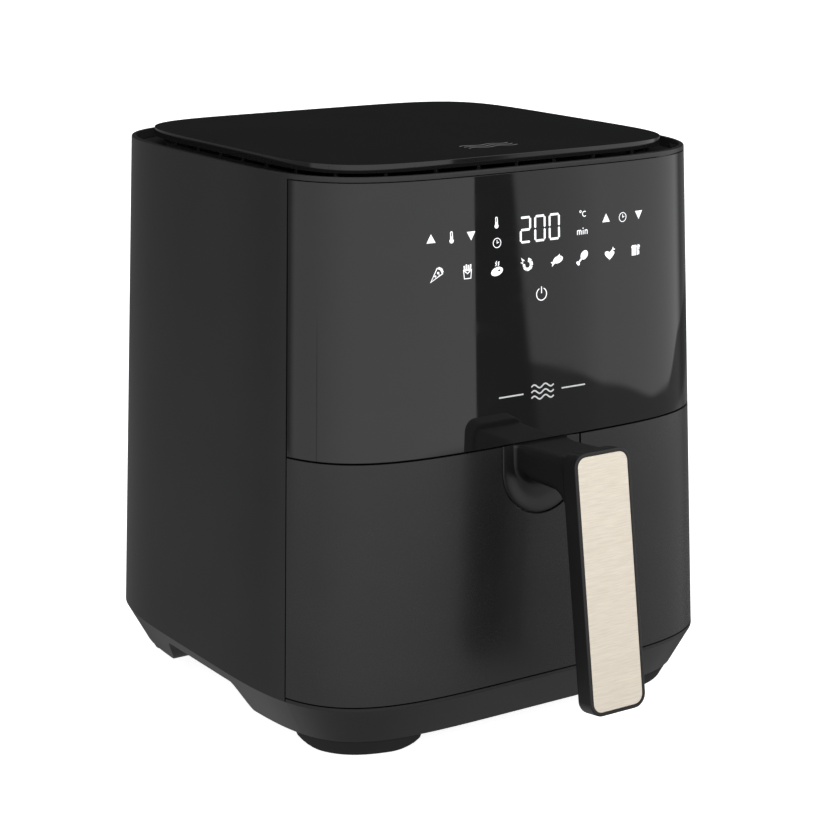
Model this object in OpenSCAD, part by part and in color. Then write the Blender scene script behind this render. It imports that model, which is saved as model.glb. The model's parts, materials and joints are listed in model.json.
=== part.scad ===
// Basket air fryer with a touch panel, a pull-out drawer and a handle with a metal-look inlay.
// Origin: on the surface it stands on, under the middle of the whole object. The front faces -Y.

/* [Body] */
// Width of the body at its widest, just above the base
body_w = 270; // [225:1:324]
// Depth of the body at its widest, without the handle
body_d = 265.2; // [221:0.1:318.3]
// How far each side wall leans inwards up to the rim
side_lean = 10.1; // [4:0.1:16]
// How far the front and back walls lean inwards up to the rim
front_lean = 9.7; // [4:0.1:16]
// Squareness of the body's outline (2 is an ellipse)
squareness = 4.48; // [4:0.01:6]
// Wall thickness of the outer mouldings
wall = 2.5; // [2:0.1:3.2]
// Gap between neighbouring outer mouldings
seam_gap = 0.6; // [0.4:0.1:1]
// Plan angle of the two front seams, from the side axis
seam_angle = 34.2; // [30:0.1:38]

/* [Heights] */
// Height of the rubber feet
foot_h = 10; // [6:0.5:14]
// Height of the crease between the base chamfer and the wall
crease_z = 30.6; // [26:0.1:32]
// Height of the seam under the drawer
drawer_z = 32.6; // [32:0.1:36]
// Height of the drawer front
drawer_h = 124.6; // [103.8:0.1:149.6]
// Height of the control panel
panel_h = 137.1; // [114.2:0.1:164.6]
// Height of the rim band above the panel
band_h = 2.4; // [1.5:0.1:4]

/* [Base] */
// How far the base chamfer leans in at its bottom
chamfer_in = 11.1; // [8:0.1:14]
// Rise of the arch between the front and back feet
arch_rise = 14.4; // [8:0.1:16]
// Half length of the arch at its bottom
arch_half = 46; // [36:1:52]
// Length of each sloping end of the arch
arch_ramp = 12; // [8:1:18]
// How much further in a foot's side is at the floor than at its top
foot_in = 5.4; // [3:0.1:7]
// Width of a foot, from its outer to its inner side
foot_w = 18; // [14:1:22]
// Half angle that a foot covers round its corner
foot_angle = 15.5; // [10:0.5:18]

/* [Lid] */
// Gap between the rim and the lid
lid_gap = 0.3; // [0.1:0.1:3]
// Thickness of the lid
lid_t = 3.9; // [2.5:0.1:5]
// Distance from the rim to the edge of the lid
lid_in = 13.4; // [9:0.1:18]
// Squareness of the lid's outline
lid_squareness = 5.44; // [4:0.01:7]
// Depth of the recessed deck below the rim
deck_drop = 5; // [4:0.1:12]

/* [Handle] */
// Distance from the drawer front to the face of the grip, at its top
handle_reach = 49; // [40.9:0.1:58.8]
// Length of the grip along its face
grip_len = 131.9; // [110:0.1:158]
// Width of the grip
grip_w = 34.4; // [28.7:0.1:41]
// Thickness of the grip
grip_t = 12; // [10:0.1:14.4]
// Lean of the grip, its lower end outwards
grip_tilt = 8; // [0:0.5:12]
// How far the top of the grip stands above the seam over the drawer
grip_rise = 5.6; // [3:0.1:8]
// Depth of the recess that holds the inlay
inlay_t = 1.2; // [0.8:0.1:2]
// Rim of the grip round the inlay
inlay_rim = 1.7; // [1.2:0.1:3]
// Width of the arm
arm_w = 32; // [26:0.5:34]
// Half width of the pocket in the drawer front
pocket_r = 25; // [22:0.5:30]
// Height of the pocket
pocket_h = 38.6; // [34:0.1:44]

/* [Drawer and pan] */
// Space between the widest outline and the outside of the chamber, at each side
chamber_gap = 20; // [18:0.5:26]
// Space between the widest outline and the outside of the chamber, at the back
chamber_back_gap = 23.6; // [20:0.1:30]
// Space between the widest outline and the pan, at the front
pan_front_gap = 22.6; // [20:0.1:30]
// Thickness of the sheet metal
sheet = 1; // [0.6:0.1:1.2]
// Gap between the pan's flange and the chamber wall
pan_gap = 3.5; // [3:0.1:6]
// Width of the pan's flange
flange_w = 5; // [4:0.5:7]
// Drop from the seam over the drawer to the rim of the pan
pan_drop = 15.2; // [14:0.1:20]
// Wall thickness of the pan
pan_wall = 1.5; // [1:0.1:2]
// Corner radius of the pan
pan_r = 38; // [30:1:48]
// Height of the crisper plate above the floor of the pan
plate_z = 14.5; // [10:0.5:20]
// Gap between the crisper plate and the wall of the pan
plate_gap = 5; // [3:0.5:8]

/* [Fan and heater] */
// Diameter of the motor shaft
shaft_d = 6; // [5:0.5:8]
// Radial running clearance of the shaft in its bushes
shaft_gap = 0.05; // [0.02:0.01:0.1]
// Height of the blades of the hot-air fan
fan_h = 15; // [12:0.5:18]
// Diameter of the heater's tube
tube_d = 6.6; // [5:0.1:8]
// Diameter of the cooling fan
cool_fan_d = 96; // [80:1:110]
// Diameter of the mains cable that the gland takes
cable_d = 7; // [6:0.1:8.4]
// Clearance all round the cable in its gland
cable_gap = 0.2; // [0.1:0.05:0.4]

/* [Hidden] */

$fn = 64;
turn_steps = 12;    // points in half a corner of the body's outline
corner_steps = 8;   // points in a rounded corner
eps = 1;            // how far a cut runs past the face it opens

// Heights worked out from the driving ones
mid_z = drawer_z + drawer_h;
panel_top_z = mid_z + panel_h;
rim_z = panel_top_z + band_h;
lid_z = rim_z + lid_gap;
deck_z = rim_z - deck_drop;
deck_t = 2;

// Rounded outline of the body: half sizes at height z, and its point at plan angle t
function lean_at(z) = max(0, z - drawer_z) / (rim_z - drawer_z);
function half_w(z) = body_w / 2 - side_lean * lean_at(z);
function half_d(z) = body_d / 2 - front_lean * lean_at(z);
function outline_pt(a, b, n, t, inset) =
    let (
        r = pow(pow(abs(cos(t)) / a, n) + pow(abs(sin(t)) / b, n), -1 / n),
        gx = sign(cos(t)) * pow(abs(r * cos(t)) / a, n - 1) / a,
        gy = sign(sin(t)) * pow(abs(r * sin(t)) / b, n - 1) / b,
        g = norm([gx, gy])
    )
    [r * cos(t) - inset * gx / g, r * sin(t) - inset * gy / g];
function body_pt(z, t, inset) =
    let (p = outline_pt(half_w(z), half_d(z), squareness, t, inset)) [p[0], p[1], z];
// Plan angles of the outline's points, closer together in the corners
plan_angles = [
    for (q = [0:3], i = [-turn_steps:turn_steps - 1])
        90 * q + 45 + 45 * sign(i) * pow(abs(i) / turn_steps, 1.3)
];
function mix(a, b, u) = a + (b - a) * u;

// Front of the grip at its foot, and the shift that puts the whole object over the origin
grip_top_z = mid_z + grip_rise;
grip_face_y = -half_d(mid_z) - handle_reach;
grip_foot_y = grip_face_y - grip_len * sin(grip_tilt);
body_y = -(grip_foot_y + body_d / 2) / 2;

module on_body() {
    translate([0, body_y, 0]) children();
}

// Closed solid through loops of equally many points, each counter-clockwise seen from the last
module skin(loops, ring = false) {
    m = len(loops[0]);
    k = len(loops);
    sides = [
        for (i = [0:(ring ? k : k - 1) - 1], j = [0:m - 1])
            let (a = i * m, b = ((i + 1) % k) * m, n = (j + 1) % m)
            each [[a + j, b + n, a + n], [a + j, b + j, b + n]]
    ];
    caps = ring ? [] : [[for (j = [0:m - 1]) j], [for (j = [m - 1:-1:0]) (k - 1) * m + j]];
    polyhedron(points = [for (l = loops) each l], faces = concat(sides, caps), convexity = 8);
}

function body_loop(z, inset) = [for (t = plan_angles) body_pt(z, t, inset)];

// Solid with the body's outline through a list of [height, inset]
module body_solid(profile) {
    skin([for (p = profile) body_loop(p[0], p[1])]);
}

// Wall round the body between two heights, its outer side at the given inset
module body_wall(z0, z1, inset, thick) {
    difference() {
        body_solid([[z0, inset], [z1, inset]]);
        body_solid([[z0 - eps, inset + thick], [z1 + eps, inset + thick]]);
    }
}

// Wedge in front of the two seams, each side drawn back by gap
module front_sector(z0, z1, gap = 0) {
    a = seam_angle + gap / body_w * 2 * 180 / PI;
    r = body_w + body_d;
    translate([0, 0, z0])
        linear_extrude(z1 - z0)
            polygon([[0, 0], [-r * cos(a), -r * sin(a)], [0, -r * 2], [r * cos(a), -r * sin(a)]]);
}

// Corner-rounded rectangle, counter-clockwise
function round_rect(hx, hy, r) = [
    for (q = [0:3], i = [0:corner_steps])
        let (t = 90 * (q + i / corner_steps), cx = (q == 0 || q == 3 ? 1 : -1), cy = (q < 2 ? 1 : -1))
        [cx * (hx - r) + r * cos(t), cy * (hy - r) + r * sin(t)]
];
function rect_loop(hx, hy, r, z) = [for (p = round_rect(hx, hy, r)) [p[0], p[1], z]];

// Slab through a list of [height, inset], with a rounded rectangle as its outline
module round_slab(hx, hy, r, profile) {
    skin([for (p = profile) rect_loop(hx - p[1], hy - p[1], max(r - p[1], 0.5), p[0])]);
}

// Tube along a route of points, with rings at right angles to it
function unit(v) = v / norm(v);
function heading(route, i) =
    unit(route[min(i + 1, len(route) - 1)] - route[max(i - 1, 0)]);
function side_of(d) = unit(abs(d[2]) > 0.8 ? cross(d, [0, 1, 0]) : cross(d, [0, 0, 1]));
function carried(v, d) = unit(v - (v * d) * d);
function sides_along(route) = [
    for (i = 0, v = side_of(heading(route, 0)); i < len(route);
         i = i + 1, v = carried(v, heading(route, min(i, len(route) - 1)))) v
];
module tube_along(route, r, sides) {
    v = sides_along(route);
    skin([
        for (i = [0:len(route) - 1])
            let (d = heading(route, i), u = v[i], w = cross(d, u))
            [for (j = [0:sides - 1]) route[i] + r * (u * cos(360 * j / sides) + w * sin(360 * j / sides))]
    ]);
}

// ---------- Housing ----------

// Doorway of the drawer, and the chamber behind it
fit_gap = 0.3;                       // gap between pieces that are fitted together
frame_t = 3;
gasket_t = 2.6;
frame_y = body_pt(mid_z, 180 + seam_angle, 0)[1] + 1.3;
chamber_w2 = body_w / 2 - chamber_gap;             // outside of the liner, half width
chamber_back = body_d / 2 - chamber_back_gap;      // outside of the liner, at the back
chamber_front = frame_y + frame_t;
chamber_cy = (chamber_front + chamber_back - sheet) / 2;
chamber_r = 30;
flange_x = chamber_w2 - sheet - pan_gap;
pan_x = flange_x - flange_w;
pan_front = -body_d / 2 + pan_front_gap;
pan_back = chamber_back - sheet - 5 - flange_w;
pan_y = (pan_front + pan_back) / 2;
pan_hy = (pan_back - pan_front) / 2;
pan_z = drawer_z + 5.4;
pan_rim_z = mid_z - pan_drop;
chamber_z = pan_z - 4;
door_x = flange_x + 1.5;
door_z0 = pan_z - 2.5;
door_z1 = pan_rim_z + 3;
inner_z0 = drawer_z + 2.4;
inner_z1 = mid_z - 3.2;

// Heights of what hangs over the pan
guard_z = pan_rim_z + 9;
coil_z = guard_z + 12;
fan_z = coil_z + 13;
roof_z = fan_z + fan_h + 10;
insulation_t = 6;
cool_fan_z = roof_z + insulation_t + 5;
cool_fan_h = 8;
bridge_z = cool_fan_z + cool_fan_h + 4;
bridge_t = 2;
stator_z = bridge_z + 7;
cap_z = deck_z - deck_t - 12;
cap_t = 2;
stator_h = cap_z - stator_z - 5;

// Radii about the shaft
room_r = min(chamber_w2 - sheet, (chamber_back - sheet - chamber_front) / 2);
guard_r = room_r - 3.5;
coil_r = room_r - 10.5;
coil_in_r = coil_r - 24;
hot_fan_r = coil_r - 16;
rotor_r = 13.6;
air_gap = 0.4;
bush_r = 6;
bush_h = 9;
shaft_r = shaft_d / 2;

shell_grey = "#333335";
panel_black = "#19191b";
steel = "#b9bbbe";
black = "#161617";

// Cut for the rear grille
grille_w = 76;
grille_h = 50;
grille_z = coil_z + 14;
gland_x = -60;
gland_z = crease_z + 20;
gland_r = cable_d / 2 + cable_gap + 3.4;

boss_in = 6.2;
screw_angles = [68, 112, 204, 336];
function boss_pt(t) = body_pt(crease_z, t, chamfer_in + boss_in);

// Ring of wall sections: full height round the back, a low band across the front
back_angles = concat(
    [-seam_angle],
    [for (t = plan_angles) if (t > 360 - seam_angle) t - 360],
    [for (t = plan_angles) if (t < 180 + seam_angle) t],
    [180 + seam_angle]
);
front_angles = [for (t = plan_angles) if (t > 180 + seam_angle && t < 360 - seam_angle) t];
// Inner corner of a section cut along a line through the axis, as the seams are
function seam_pt(z, t) =
    let (p = body_pt(z, t, 0), d = p - body_pt(z, t, wall))
    let (s = 1 - wall * wall / (d[0] * p[0] + d[1] * p[1]))
    [p[0] * s, p[1] * s, z];
module shell_ring() {
    nb = len(back_angles);
    angles = concat(back_angles, front_angles);
    n = len(angles);
    function at(i, k) = i < nb ? 6 * i + k : 6 * nb + 4 * (i - nb) + k - 1;
    function quad(i, k, m) =
        let (j = (i + 1) % n) [[at(i, k), at(i, m), at(j, m)], [at(i, k), at(j, m), at(j, k)]];
    points = [
        for (i = [0:n - 1], k = [(i < nb ? 0 : 1):(i < nb ? 5 : 4)])
            let (z = [crease_z, panel_top_z, rim_z][min(k, 5 - k)], seam = i == 0 || i == nb - 1)
            k < 3 ? body_pt(z, angles[i], 0) : seam ? seam_pt(z, angles[i]) : body_pt(z, angles[i], wall)
    ];
    faces = [
        for (i = [0:nb - 2], k = [0:5]) each quad(i, k, (k + 1) % 6),
        for (i = [nb - 1:n - 1], k = [1:4]) each quad(i, k, k % 4 + 1)
    ];
    ends = [
        [at(nb - 1, 0), at(nb - 1, 1), at(nb - 1, 4), at(nb - 1, 5)],
        [at(0, 5), at(0, 4), at(0, 1), at(0, 0)]
    ];
    polyhedron(points = points, faces = concat(faces, ends), convexity = 8);
}

module outer_shell() {
    color(shell_grey) on_body() difference() {
        shell_ring();
        translate([-grille_w / 2, 0, grille_z - grille_h / 2]) cube([grille_w, body_d, grille_h]);
        translate([gland_x, 0, gland_z]) rotate([-90, 0, 0]) cylinder(r = gland_r + fit_gap, h = body_d);
    }
}

// Side view of the space under the base, arches included: half of it, mirrored for the other
arch_steps = 6;
function arch_edge(up) = [
    for (i = [0:arch_steps])
        let (u = i / arch_steps) [-arch_half + arch_ramp * u, foot_h + up + arch_rise * (1 - cos(180 * u)) / 2]
];
module above_arch(up) {
    left = arch_edge(up);
    right = [for (i = [len(left) - 1:-1:0]) [-left[i][0], left[i][1]]];
    far = body_d;
    edge = concat([[-far, foot_h + up]], left, right, [[far, foot_h + up]]);
    rotate([90, 0, 90])
        translate([0, 0, -body_w])
            linear_extrude(body_w * 2)
                polygon(concat(edge, [[far, rim_z], [-far, rim_z]]));
}

module base_tub() {
    strip_z = drawer_z - seam_gap / 2;
    color(shell_grey) on_body() difference() {
        intersection() {
            body_solid([[foot_h, chamfer_in], [crease_z, 0], [strip_z, 0]]);
            above_arch(0);
        }
        intersection() {
            skin([
                body_loop(foot_h, chamfer_in + wall), body_loop(crease_z, wall),
                body_loop(strip_z + 1, wall)
            ]);
            above_arch(wall);
        }
        difference() {
            translate([-body_w, -body_d, crease_z]) cube([body_w * 2, body_d * 2, 10]);
            front_sector(crease_z - 1, crease_z + 11, seam_gap);
        }
        for (t = screw_angles) translate([boss_pt(t)[0], boss_pt(t)[1], 0]) cylinder(r = 1.8, h = crease_z);
    }
}

module foot(middle) {
    flat = foot_angle * 0.6;
    steps = 12;
    color(black) on_body() skin([
        for (i = [0:steps])
            let (
                d = foot_angle * 0.985 * (2 * i / steps - 1),
                t = middle + d,
                u = max(0, (abs(d) - flat) / (foot_angle - flat)),
                z = foot_h * (1 - sqrt(1 - u * u)),
                under = chamfer_in + 0.8 + foot_in * (1 - z / foot_h),
                a = body_pt(drawer_z, t, chamfer_in + 0.8 + foot_w),
                b = body_pt(drawer_z, t, chamfer_in + 0.8),
                c = body_pt(drawer_z, t, under),
                e = body_pt(drawer_z, t, chamfer_in + 0.8 + foot_w - foot_in / 2)
            )
            [[e[0], e[1], z], [a[0], a[1], foot_h], [b[0], b[1], foot_h], [c[0], c[1], z]]
    ]);
}
foot_at = 47.4;     // plan angle of a foot's middle, from the side axis
module foot_front_left() { foot(180 + foot_at); }
module foot_front_right() { foot(360 - foot_at); }
module foot_rear_left() { foot(180 - foot_at); }
module foot_rear_right() { foot(foot_at); }

module control_panel() {
    z0 = mid_z + seam_gap / 2;
    z1 = panel_top_z - seam_gap / 2;
    color(panel_black) on_body() intersection() {
        body_wall(z0, z1, 0, wall);
        front_sector(z0 - 1, z1 + 1, seam_gap);
    }
}

slot_w = 4;
module top_deck() {
    color(black) on_body() difference() {
        translate([0, 0, deck_z - deck_t]) linear_extrude(deck_t)
            polygon([
                for (t = plan_angles) outline_pt(half_w(rim_z), half_d(rim_z), squareness, t, wall + fit_gap)
            ]);
        for (t = [0:15:345])
            rotate(t) translate([0, 0, deck_z - deck_t - 1]) {
                translate([30, -slot_w / 2, 0]) cube([42, slot_w, deck_t + 2]);
            }
    }
}

lid_w2 = half_w(rim_z) - lid_in;
lid_d2 = half_d(rim_z) - lid_in;
module lid_plan(inset) {
    polygon([for (t = plan_angles) outline_pt(lid_w2, lid_d2, lid_squareness, t, inset)]);
}
module lid() {
    color(panel_black) on_body() translate([0, 0, lid_z]) linear_extrude(lid_t) lid_plan(0);
}

// Ring with posts that carries the lid over the deck
post_t = 3;
post_in = 5;
module lid_spacer() {
    ring_in = post_in + post_t;
    color(black) on_body() {
        translate([0, 0, deck_z]) linear_extrude(2) difference() {
            lid_plan(post_in);
            lid_plan(ring_in);
        }
        for (t = [0:12:348]) {
            p = outline_pt(lid_w2, lid_d2, lid_squareness, t + 6, post_in + post_t / 2);
            translate([p[0], p[1], deck_z + 1]) cylinder(r = post_t * 0.4, h = lid_z - deck_z - 1);
        }
    }
}

module front_frame() {
    bottom = drawer_z + 1;
    shelf_z = mid_z + seam_gap / 2 + 0.5;
    foot_x = chamber_w2 - 12;
    color("#242426") on_body() difference() {
        union() {
            translate([-foot_x, frame_y, foot_h + wall])
                cube([foot_x * 2, frame_t, bottom + 1 - foot_h - wall]);
            intersection() {
                body_solid([[bottom, wall + fit_gap], [deck_z - deck_t - fit_gap, wall + fit_gap]]);
                union() {
                    translate([-body_w, frame_y, bottom - 1]) cube([body_w * 2, frame_t, rim_z]);
                    translate([-body_w, -body_d, shelf_z]) cube([body_w * 2, body_d + frame_y + 1, 2.5]);
                }
            }
        }
        translate([-door_x, frame_y - 1, door_z0]) cube([door_x * 2, frame_t + 2, door_z1 - door_z0]);
        translate([plunger_x, plunger_y, shelf_z - 1]) cylinder(r = plunger_r + 0.4, h = 5);
    }
}

// Rounded rectangular frame that stands across the doorway
module upright_ring(hx, z0, z1, r, rim) {
    cz = (z0 + z1) / 2;
    hz = (z1 - z0) / 2;
    translate([0, 0, cz]) rotate([90, 0, 0]) linear_extrude(gasket_t) difference() {
        polygon(round_rect(hx + rim, hz + rim, r + rim));
        polygon(round_rect(hx, hz, r));
    }
}
module door_gasket() {
    color("#8d8f92") on_body() translate([0, frame_y, 0])
        upright_ring(door_x + 0.5, door_z0 - 0.5, door_z1 + 0.5, 4, 2.4);
}

// Flat sheet with the chamber's outline, from the front frame to the back wall
module chamber_plan(inset) {
    hy = (chamber_back - chamber_front) / 2;
    translate([0, (chamber_back + chamber_front) / 2])
        polygon([
            for (p = round_rect(chamber_w2 - inset, hy - inset, chamber_r - inset))
                [p[0], p[1] < 0 ? -hy - (inset > 0 ? 1 : 0) : p[1]]
        ]);
}
terminal_gap = 14;
module chamber_liner() {
    color(steel) on_body() difference() {
        union() {
            translate([0, 0, chamber_z]) linear_extrude(roof_z + sheet - chamber_z) chamber_plan(0);
            for (s = [-1, 1]) translate([s * chamber_w2 / 2, chamber_back - 25, foot_h + wall])
                cylinder(r = 5, h = chamber_z + 0.5 - foot_h - wall);
        }
        translate([0, 0, chamber_z + sheet]) linear_extrude(roof_z - chamber_z - sheet) chamber_plan(sheet);
        translate([0, chamber_cy, roof_z - 1]) cylinder(r = shaft_r + 6, h = sheet + 2);
        for (s = [-1, 1]) translate([s * terminal_gap, chamber_cy + coil_r, roof_z - 1])
            cylinder(r = tube_d / 2 + 1, h = sheet + 2);
        translate([probe_x, probe_y, roof_z - 1]) cylinder(r = 2.8, h = sheet + 2);
        translate([-duct_w / 2 + 2, chamber_back - sheet - 1, duct_z - duct_h / 2 + 2])
            cube([duct_w - 4, sheet + 2, duct_h - 4]);
    }
}

rail_t = 4;
module pan_rail(side) {
    inner = pan_x + 1;
    outer = chamber_w2 - sheet;
    top = pan_rim_z - pan_wall - fit_gap;
    color("#9a9da1") on_body() translate([side < 0 ? -outer : inner, chamber_front + 1, top - rail_t])
        cube([outer - inner, chamber_back - chamber_r - chamber_front - 1, rail_t]);
}
module pan_rail_left() { pan_rail(-1); }
module pan_rail_right() { pan_rail(1); }

module roof_insulation() {
    color("#d8d3c4") on_body() difference() {
        translate([0, 0, roof_z + sheet]) linear_extrude(insulation_t - sheet) chamber_plan(0);
        translate([0, chamber_cy, roof_z]) cylinder(r = shaft_r + 6, h = insulation_t + 1);
        for (s = [-1, 1]) translate([s * terminal_gap, chamber_cy + coil_r, roof_z])
            cylinder(r = tube_d / 2 + 1, h = insulation_t + 1);
        translate([probe_x, probe_y, roof_z]) cylinder(r = 2.8, h = insulation_t + 1);
    }
}

// ---------- Heater ----------

// Two turns of tube about the shaft, with both ends turned up through the roof
end_angle = asin(terminal_gap / coil_r);
coil_turn = 10;
coil_top = roof_z + insulation_t + 8;
function coil_route() =
    let (
        last = 720 - 2 * end_angle,
        n = floor(last / coil_turn),
        spiral = [
            for (i = [0:n])
                let (u = i / n, t = 90 + end_angle + last * u, r = mix(coil_r, coil_in_r, ease(0.4, 0.57, u)))
                [r * cos(t), r * sin(t), coil_z]
        ],
        a = [-terminal_gap, coil_r * cos(end_angle)],
        z = spiral[n]
    )
    concat(
        [for (h = [coil_top, mix(coil_top, coil_z, 0.5), coil_z + 8]) [a[0], a[1], h]],
        [[a[0] - 0.7, a[1], coil_z + 3]],
        spiral,
        [[z[0] + 0.2, z[1] + 0.4, coil_z + 2.5], [z[0] + 0.6, z[1] + 2, coil_z + 6.2]],
        [[z[0] + 1.6, z[1] + 6, coil_z + crossing], [terminal_gap, coil_r - 10, coil_z + crossing]],
        [[terminal_gap, coil_r - 3, coil_z + crossing + 1.5], [terminal_gap, coil_r, coil_z + crossing + 5]],
        [for (h = [mix(coil_top, coil_z, 0.4), coil_top]) [terminal_gap, coil_r, h]]
    );
crossing = tube_d + 1.1;    // how far the inner end passes above the outer turn
function ease(from, to, u) = u < from ? 0 : u > to ? 1 : (1 - cos(180 * (u - from) / (to - from))) / 2;
module heating_element() {
    color("#6f6a66") on_body() translate([0, chamber_cy, 0]) tube_along(coil_route(), tube_d / 2, 10);
}

// Hangers between the roof and the heater
module element_clips() {
    color(steel) on_body() translate([0, chamber_cy, 0]) for (t = [0, 180, 270]) rotate(t) {
        translate([coil_in_r - 6, -4, coil_z + tube_d / 2 + 0.1]) cube([coil_r - coil_in_r + 10, 8, 1.2]);
        translate([coil_r + 2.8, -4, coil_z + tube_d / 2 + 0.1])
            cube([1.2, 8, roof_z - coil_z - tube_d / 2 - 0.1]);
    }
}

wire_r = 1.2;
module element_guard() {
    color(steel) on_body() translate([0, chamber_cy, guard_z]) {
        for (r = [guard_r, guard_r * 0.72, guard_r * 0.44, guard_r * 0.18])
            rotate_extrude() translate([r, 0]) circle(r = wire_r, $fn = 20);
        for (t = [22.5, 67.5, 112.5, 157.5]) rotate([90, 0, t])
            cylinder(r = wire_r * 0.9, h = guard_r * 2, center = true, $fn = 20);
        for (t = [45:90:315]) rotate(t) translate([guard_r, 0, 0])
            cylinder(r = wire_r * 0.9, h = roof_z - guard_z, $fn = 20);
    }
}

// ---------- Motor and its housing ----------

bridge_x = 62;
bridge_d = 40;
core_w = 58;
core_d = 46;
module at_shaft() {
    on_body() translate([0, chamber_cy, 0]) children();
}
module motor_bridge() {
    leg_h = bridge_z - roof_z - insulation_t;
    color(steel) at_shaft() difference() {
        union() {
            translate([-bridge_x, -bridge_d / 2, bridge_z]) cube([bridge_x * 2, bridge_d, bridge_t]);
            for (s = [-1, 1]) {
                translate([s * (bridge_x - 0.75) - 0.75, -bridge_d / 2, bridge_z - leg_h])
                    cube([1.5, bridge_d, leg_h + 1]);
                translate([s < 0 ? -bridge_x - 10 : bridge_x - 1, -bridge_d / 2, bridge_z - leg_h])
                    cube([11, bridge_d, 1.5]);
            }
        }
        translate([0, 0, bridge_z - 1]) cylinder(r = bush_r, h = bridge_t + 2);
    }
}
module stator_core() {
    color("#7d7f85") at_shaft() difference() {
        translate([-core_w / 2, -core_d / 2, stator_z]) cube([core_w, core_d, stator_h]);
        translate([0, 0, stator_z - 1]) cylinder(r = rotor_r + air_gap, h = stator_h + 2);
    }
}
module stator_winding() {
    coil_y = core_d / 2;
    color("#a8622c") at_shaft() translate([0, coil_y + 9, stator_z + stator_h / 2]) rotate([0, 90, 0])
        round_slab(stator_h / 2 + 2, 9, 6, [[-17, 2], [-15, 0], [15, 0], [17, 2]]);
}
module motor_cap() {
    color(steel) at_shaft() difference() {
        union() {
            translate([-core_w / 2 - 4, -14, cap_z]) cube([core_w + 8, 28, cap_t]);
            for (s = [-1, 1])
                translate([s * (core_w / 2 + 3.4) - 0.6, -14, bridge_z + bridge_t])
                    cube([1.2, 28, cap_z - bridge_z - bridge_t + 1]);
        }
        translate([0, 0, cap_z - 1]) cylinder(r = bush_r, h = cap_t + 2);
    }
}
module bush(z) {
    color("#b08d4a") at_shaft() difference() {
        translate([0, 0, z]) cylinder(r = bush_r, h = bush_h);
        translate([0, 0, z - 1]) cylinder(r = shaft_r + shaft_gap, h = bush_h + 2);
    }
}
module bush_lower() { bush(bridge_z - 3); }
module bush_upper() { bush(cap_z - 5); }

// Wall round the cooling fan that leads its air down over the insulation
duct_ring_r = cool_fan_d / 2 + 4;
module air_duct() {
    color("#2c2c2e") at_shaft() difference() {
        translate([0, 0, roof_z + insulation_t]) cylinder(r = duct_ring_r + 1.5, h = cool_fan_h + 8);
        translate([0, 0, roof_z + insulation_t - 1]) cylinder(r = duct_ring_r, h = cool_fan_h + 10);
        for (s = [-1, 1]) translate([s * bridge_x - 14, -bridge_d / 2 - 1, roof_z + insulation_t - 1])
            cube([28, bridge_d + 2, cool_fan_h + 10]);
    }
}

duct_w = 64;
duct_h = 34;
duct_z = grille_z;
module exhaust_duct() {
    y1 = body_pt(duct_z + duct_h / 2, 90, wall + 0.5)[1];
    color(steel) on_body() difference() {
        translate([-duct_w / 2, chamber_back, duct_z - duct_h / 2]) cube([duct_w, y1 - chamber_back, duct_h]);
        translate([-duct_w / 2 + sheet, chamber_back - 1, duct_z - duct_h / 2 + sheet])
            cube([duct_w - 2 * sheet, y1 - chamber_back + 2, duct_h - 2 * sheet]);
    }
}
module rear_grille() {
    w = grille_w - 2 * fit_gap;
    h = grille_h - 2 * fit_gap;
    slots = 7;
    pitch = 6;
    color(black) on_body() difference() {
        intersection() {
            body_wall(grille_z - h / 2 - 1, grille_z + h / 2 + 1, 0.8, wall - 0.6);
            translate([-w / 2, 0, grille_z - h / 2]) cube([w, body_d, h]);
        }
        for (i = [0:slots - 1])
            translate([-w / 2 + 6, 0, grille_z + (i - (slots - 1) / 2) * pitch - 1.5])
                cube([w - 12, body_d, 3]);
    }
}

// ---------- Controls and electrics ----------

board_t = 1.6;
board_w = 150;
board_h = 64;
touch_z = mid_z + 108;                      // upper row of touch symbols
food_z = touch_z - 17.5;                    // row of dish symbols
power_z = touch_z - 33.2;                   // power symbol
symbol_pitch = 17.6;
board_top = min(touch_z + 24, deck_z - deck_t - 2);   // the board stays under the deck
board_cz = board_top - board_h / 2;
panel_in_y = -half_d(touch_z) + wall;       // inner side of the panel at its middle
board_y = panel_in_y + 9;
module control_board() {
    color("#1f5b3a") on_body()
        translate([-board_w / 2, board_y, board_cz - board_h / 2]) cube([board_w, board_t, board_h]);
}
module display_module() {
    color("#f2efe6") on_body()
        translate([-19, board_y - 6, touch_z - 11]) cube([38, 6, 22]);
}
module touch_pads() {
    r = 3;
    spots = concat(
        [for (x = [-64, -42, 42, 64]) [x, touch_z]],
        [for (i = [0:7]) [(i - 3.5) * symbol_pitch, food_z]],
        [[0, power_z]]
    );
    color("#c9a227") on_body() for (p = spots)
        translate([p[0], board_y, p[1]]) rotate([90, 0, 0])
            cylinder(r = r, h = board_y - outline_y(p[1] - r, abs(p[0]) + r, wall) - fit_gap);
}
module board_carrier() {
    rim = 4;
    y = board_y + board_t;
    color("#2a2a2c") on_body() {
        translate([0, y, board_cz]) rotate([-90, 0, 0]) linear_extrude(3) difference() {
            square([board_w, board_h], center = true);
            square([board_w - 2 * rim - 8, board_h - 2 * rim - 8], center = true);
        }
        for (x = [-1, 1], z = [-1, 1])
            translate([x * (board_w / 2 - rim), y + 2, board_cz + z * (board_h / 2 - rim)]) rotate([-90, 0, 0])
                cylinder(r = 3.5, h = frame_y - y - 2);
    }
}

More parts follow.
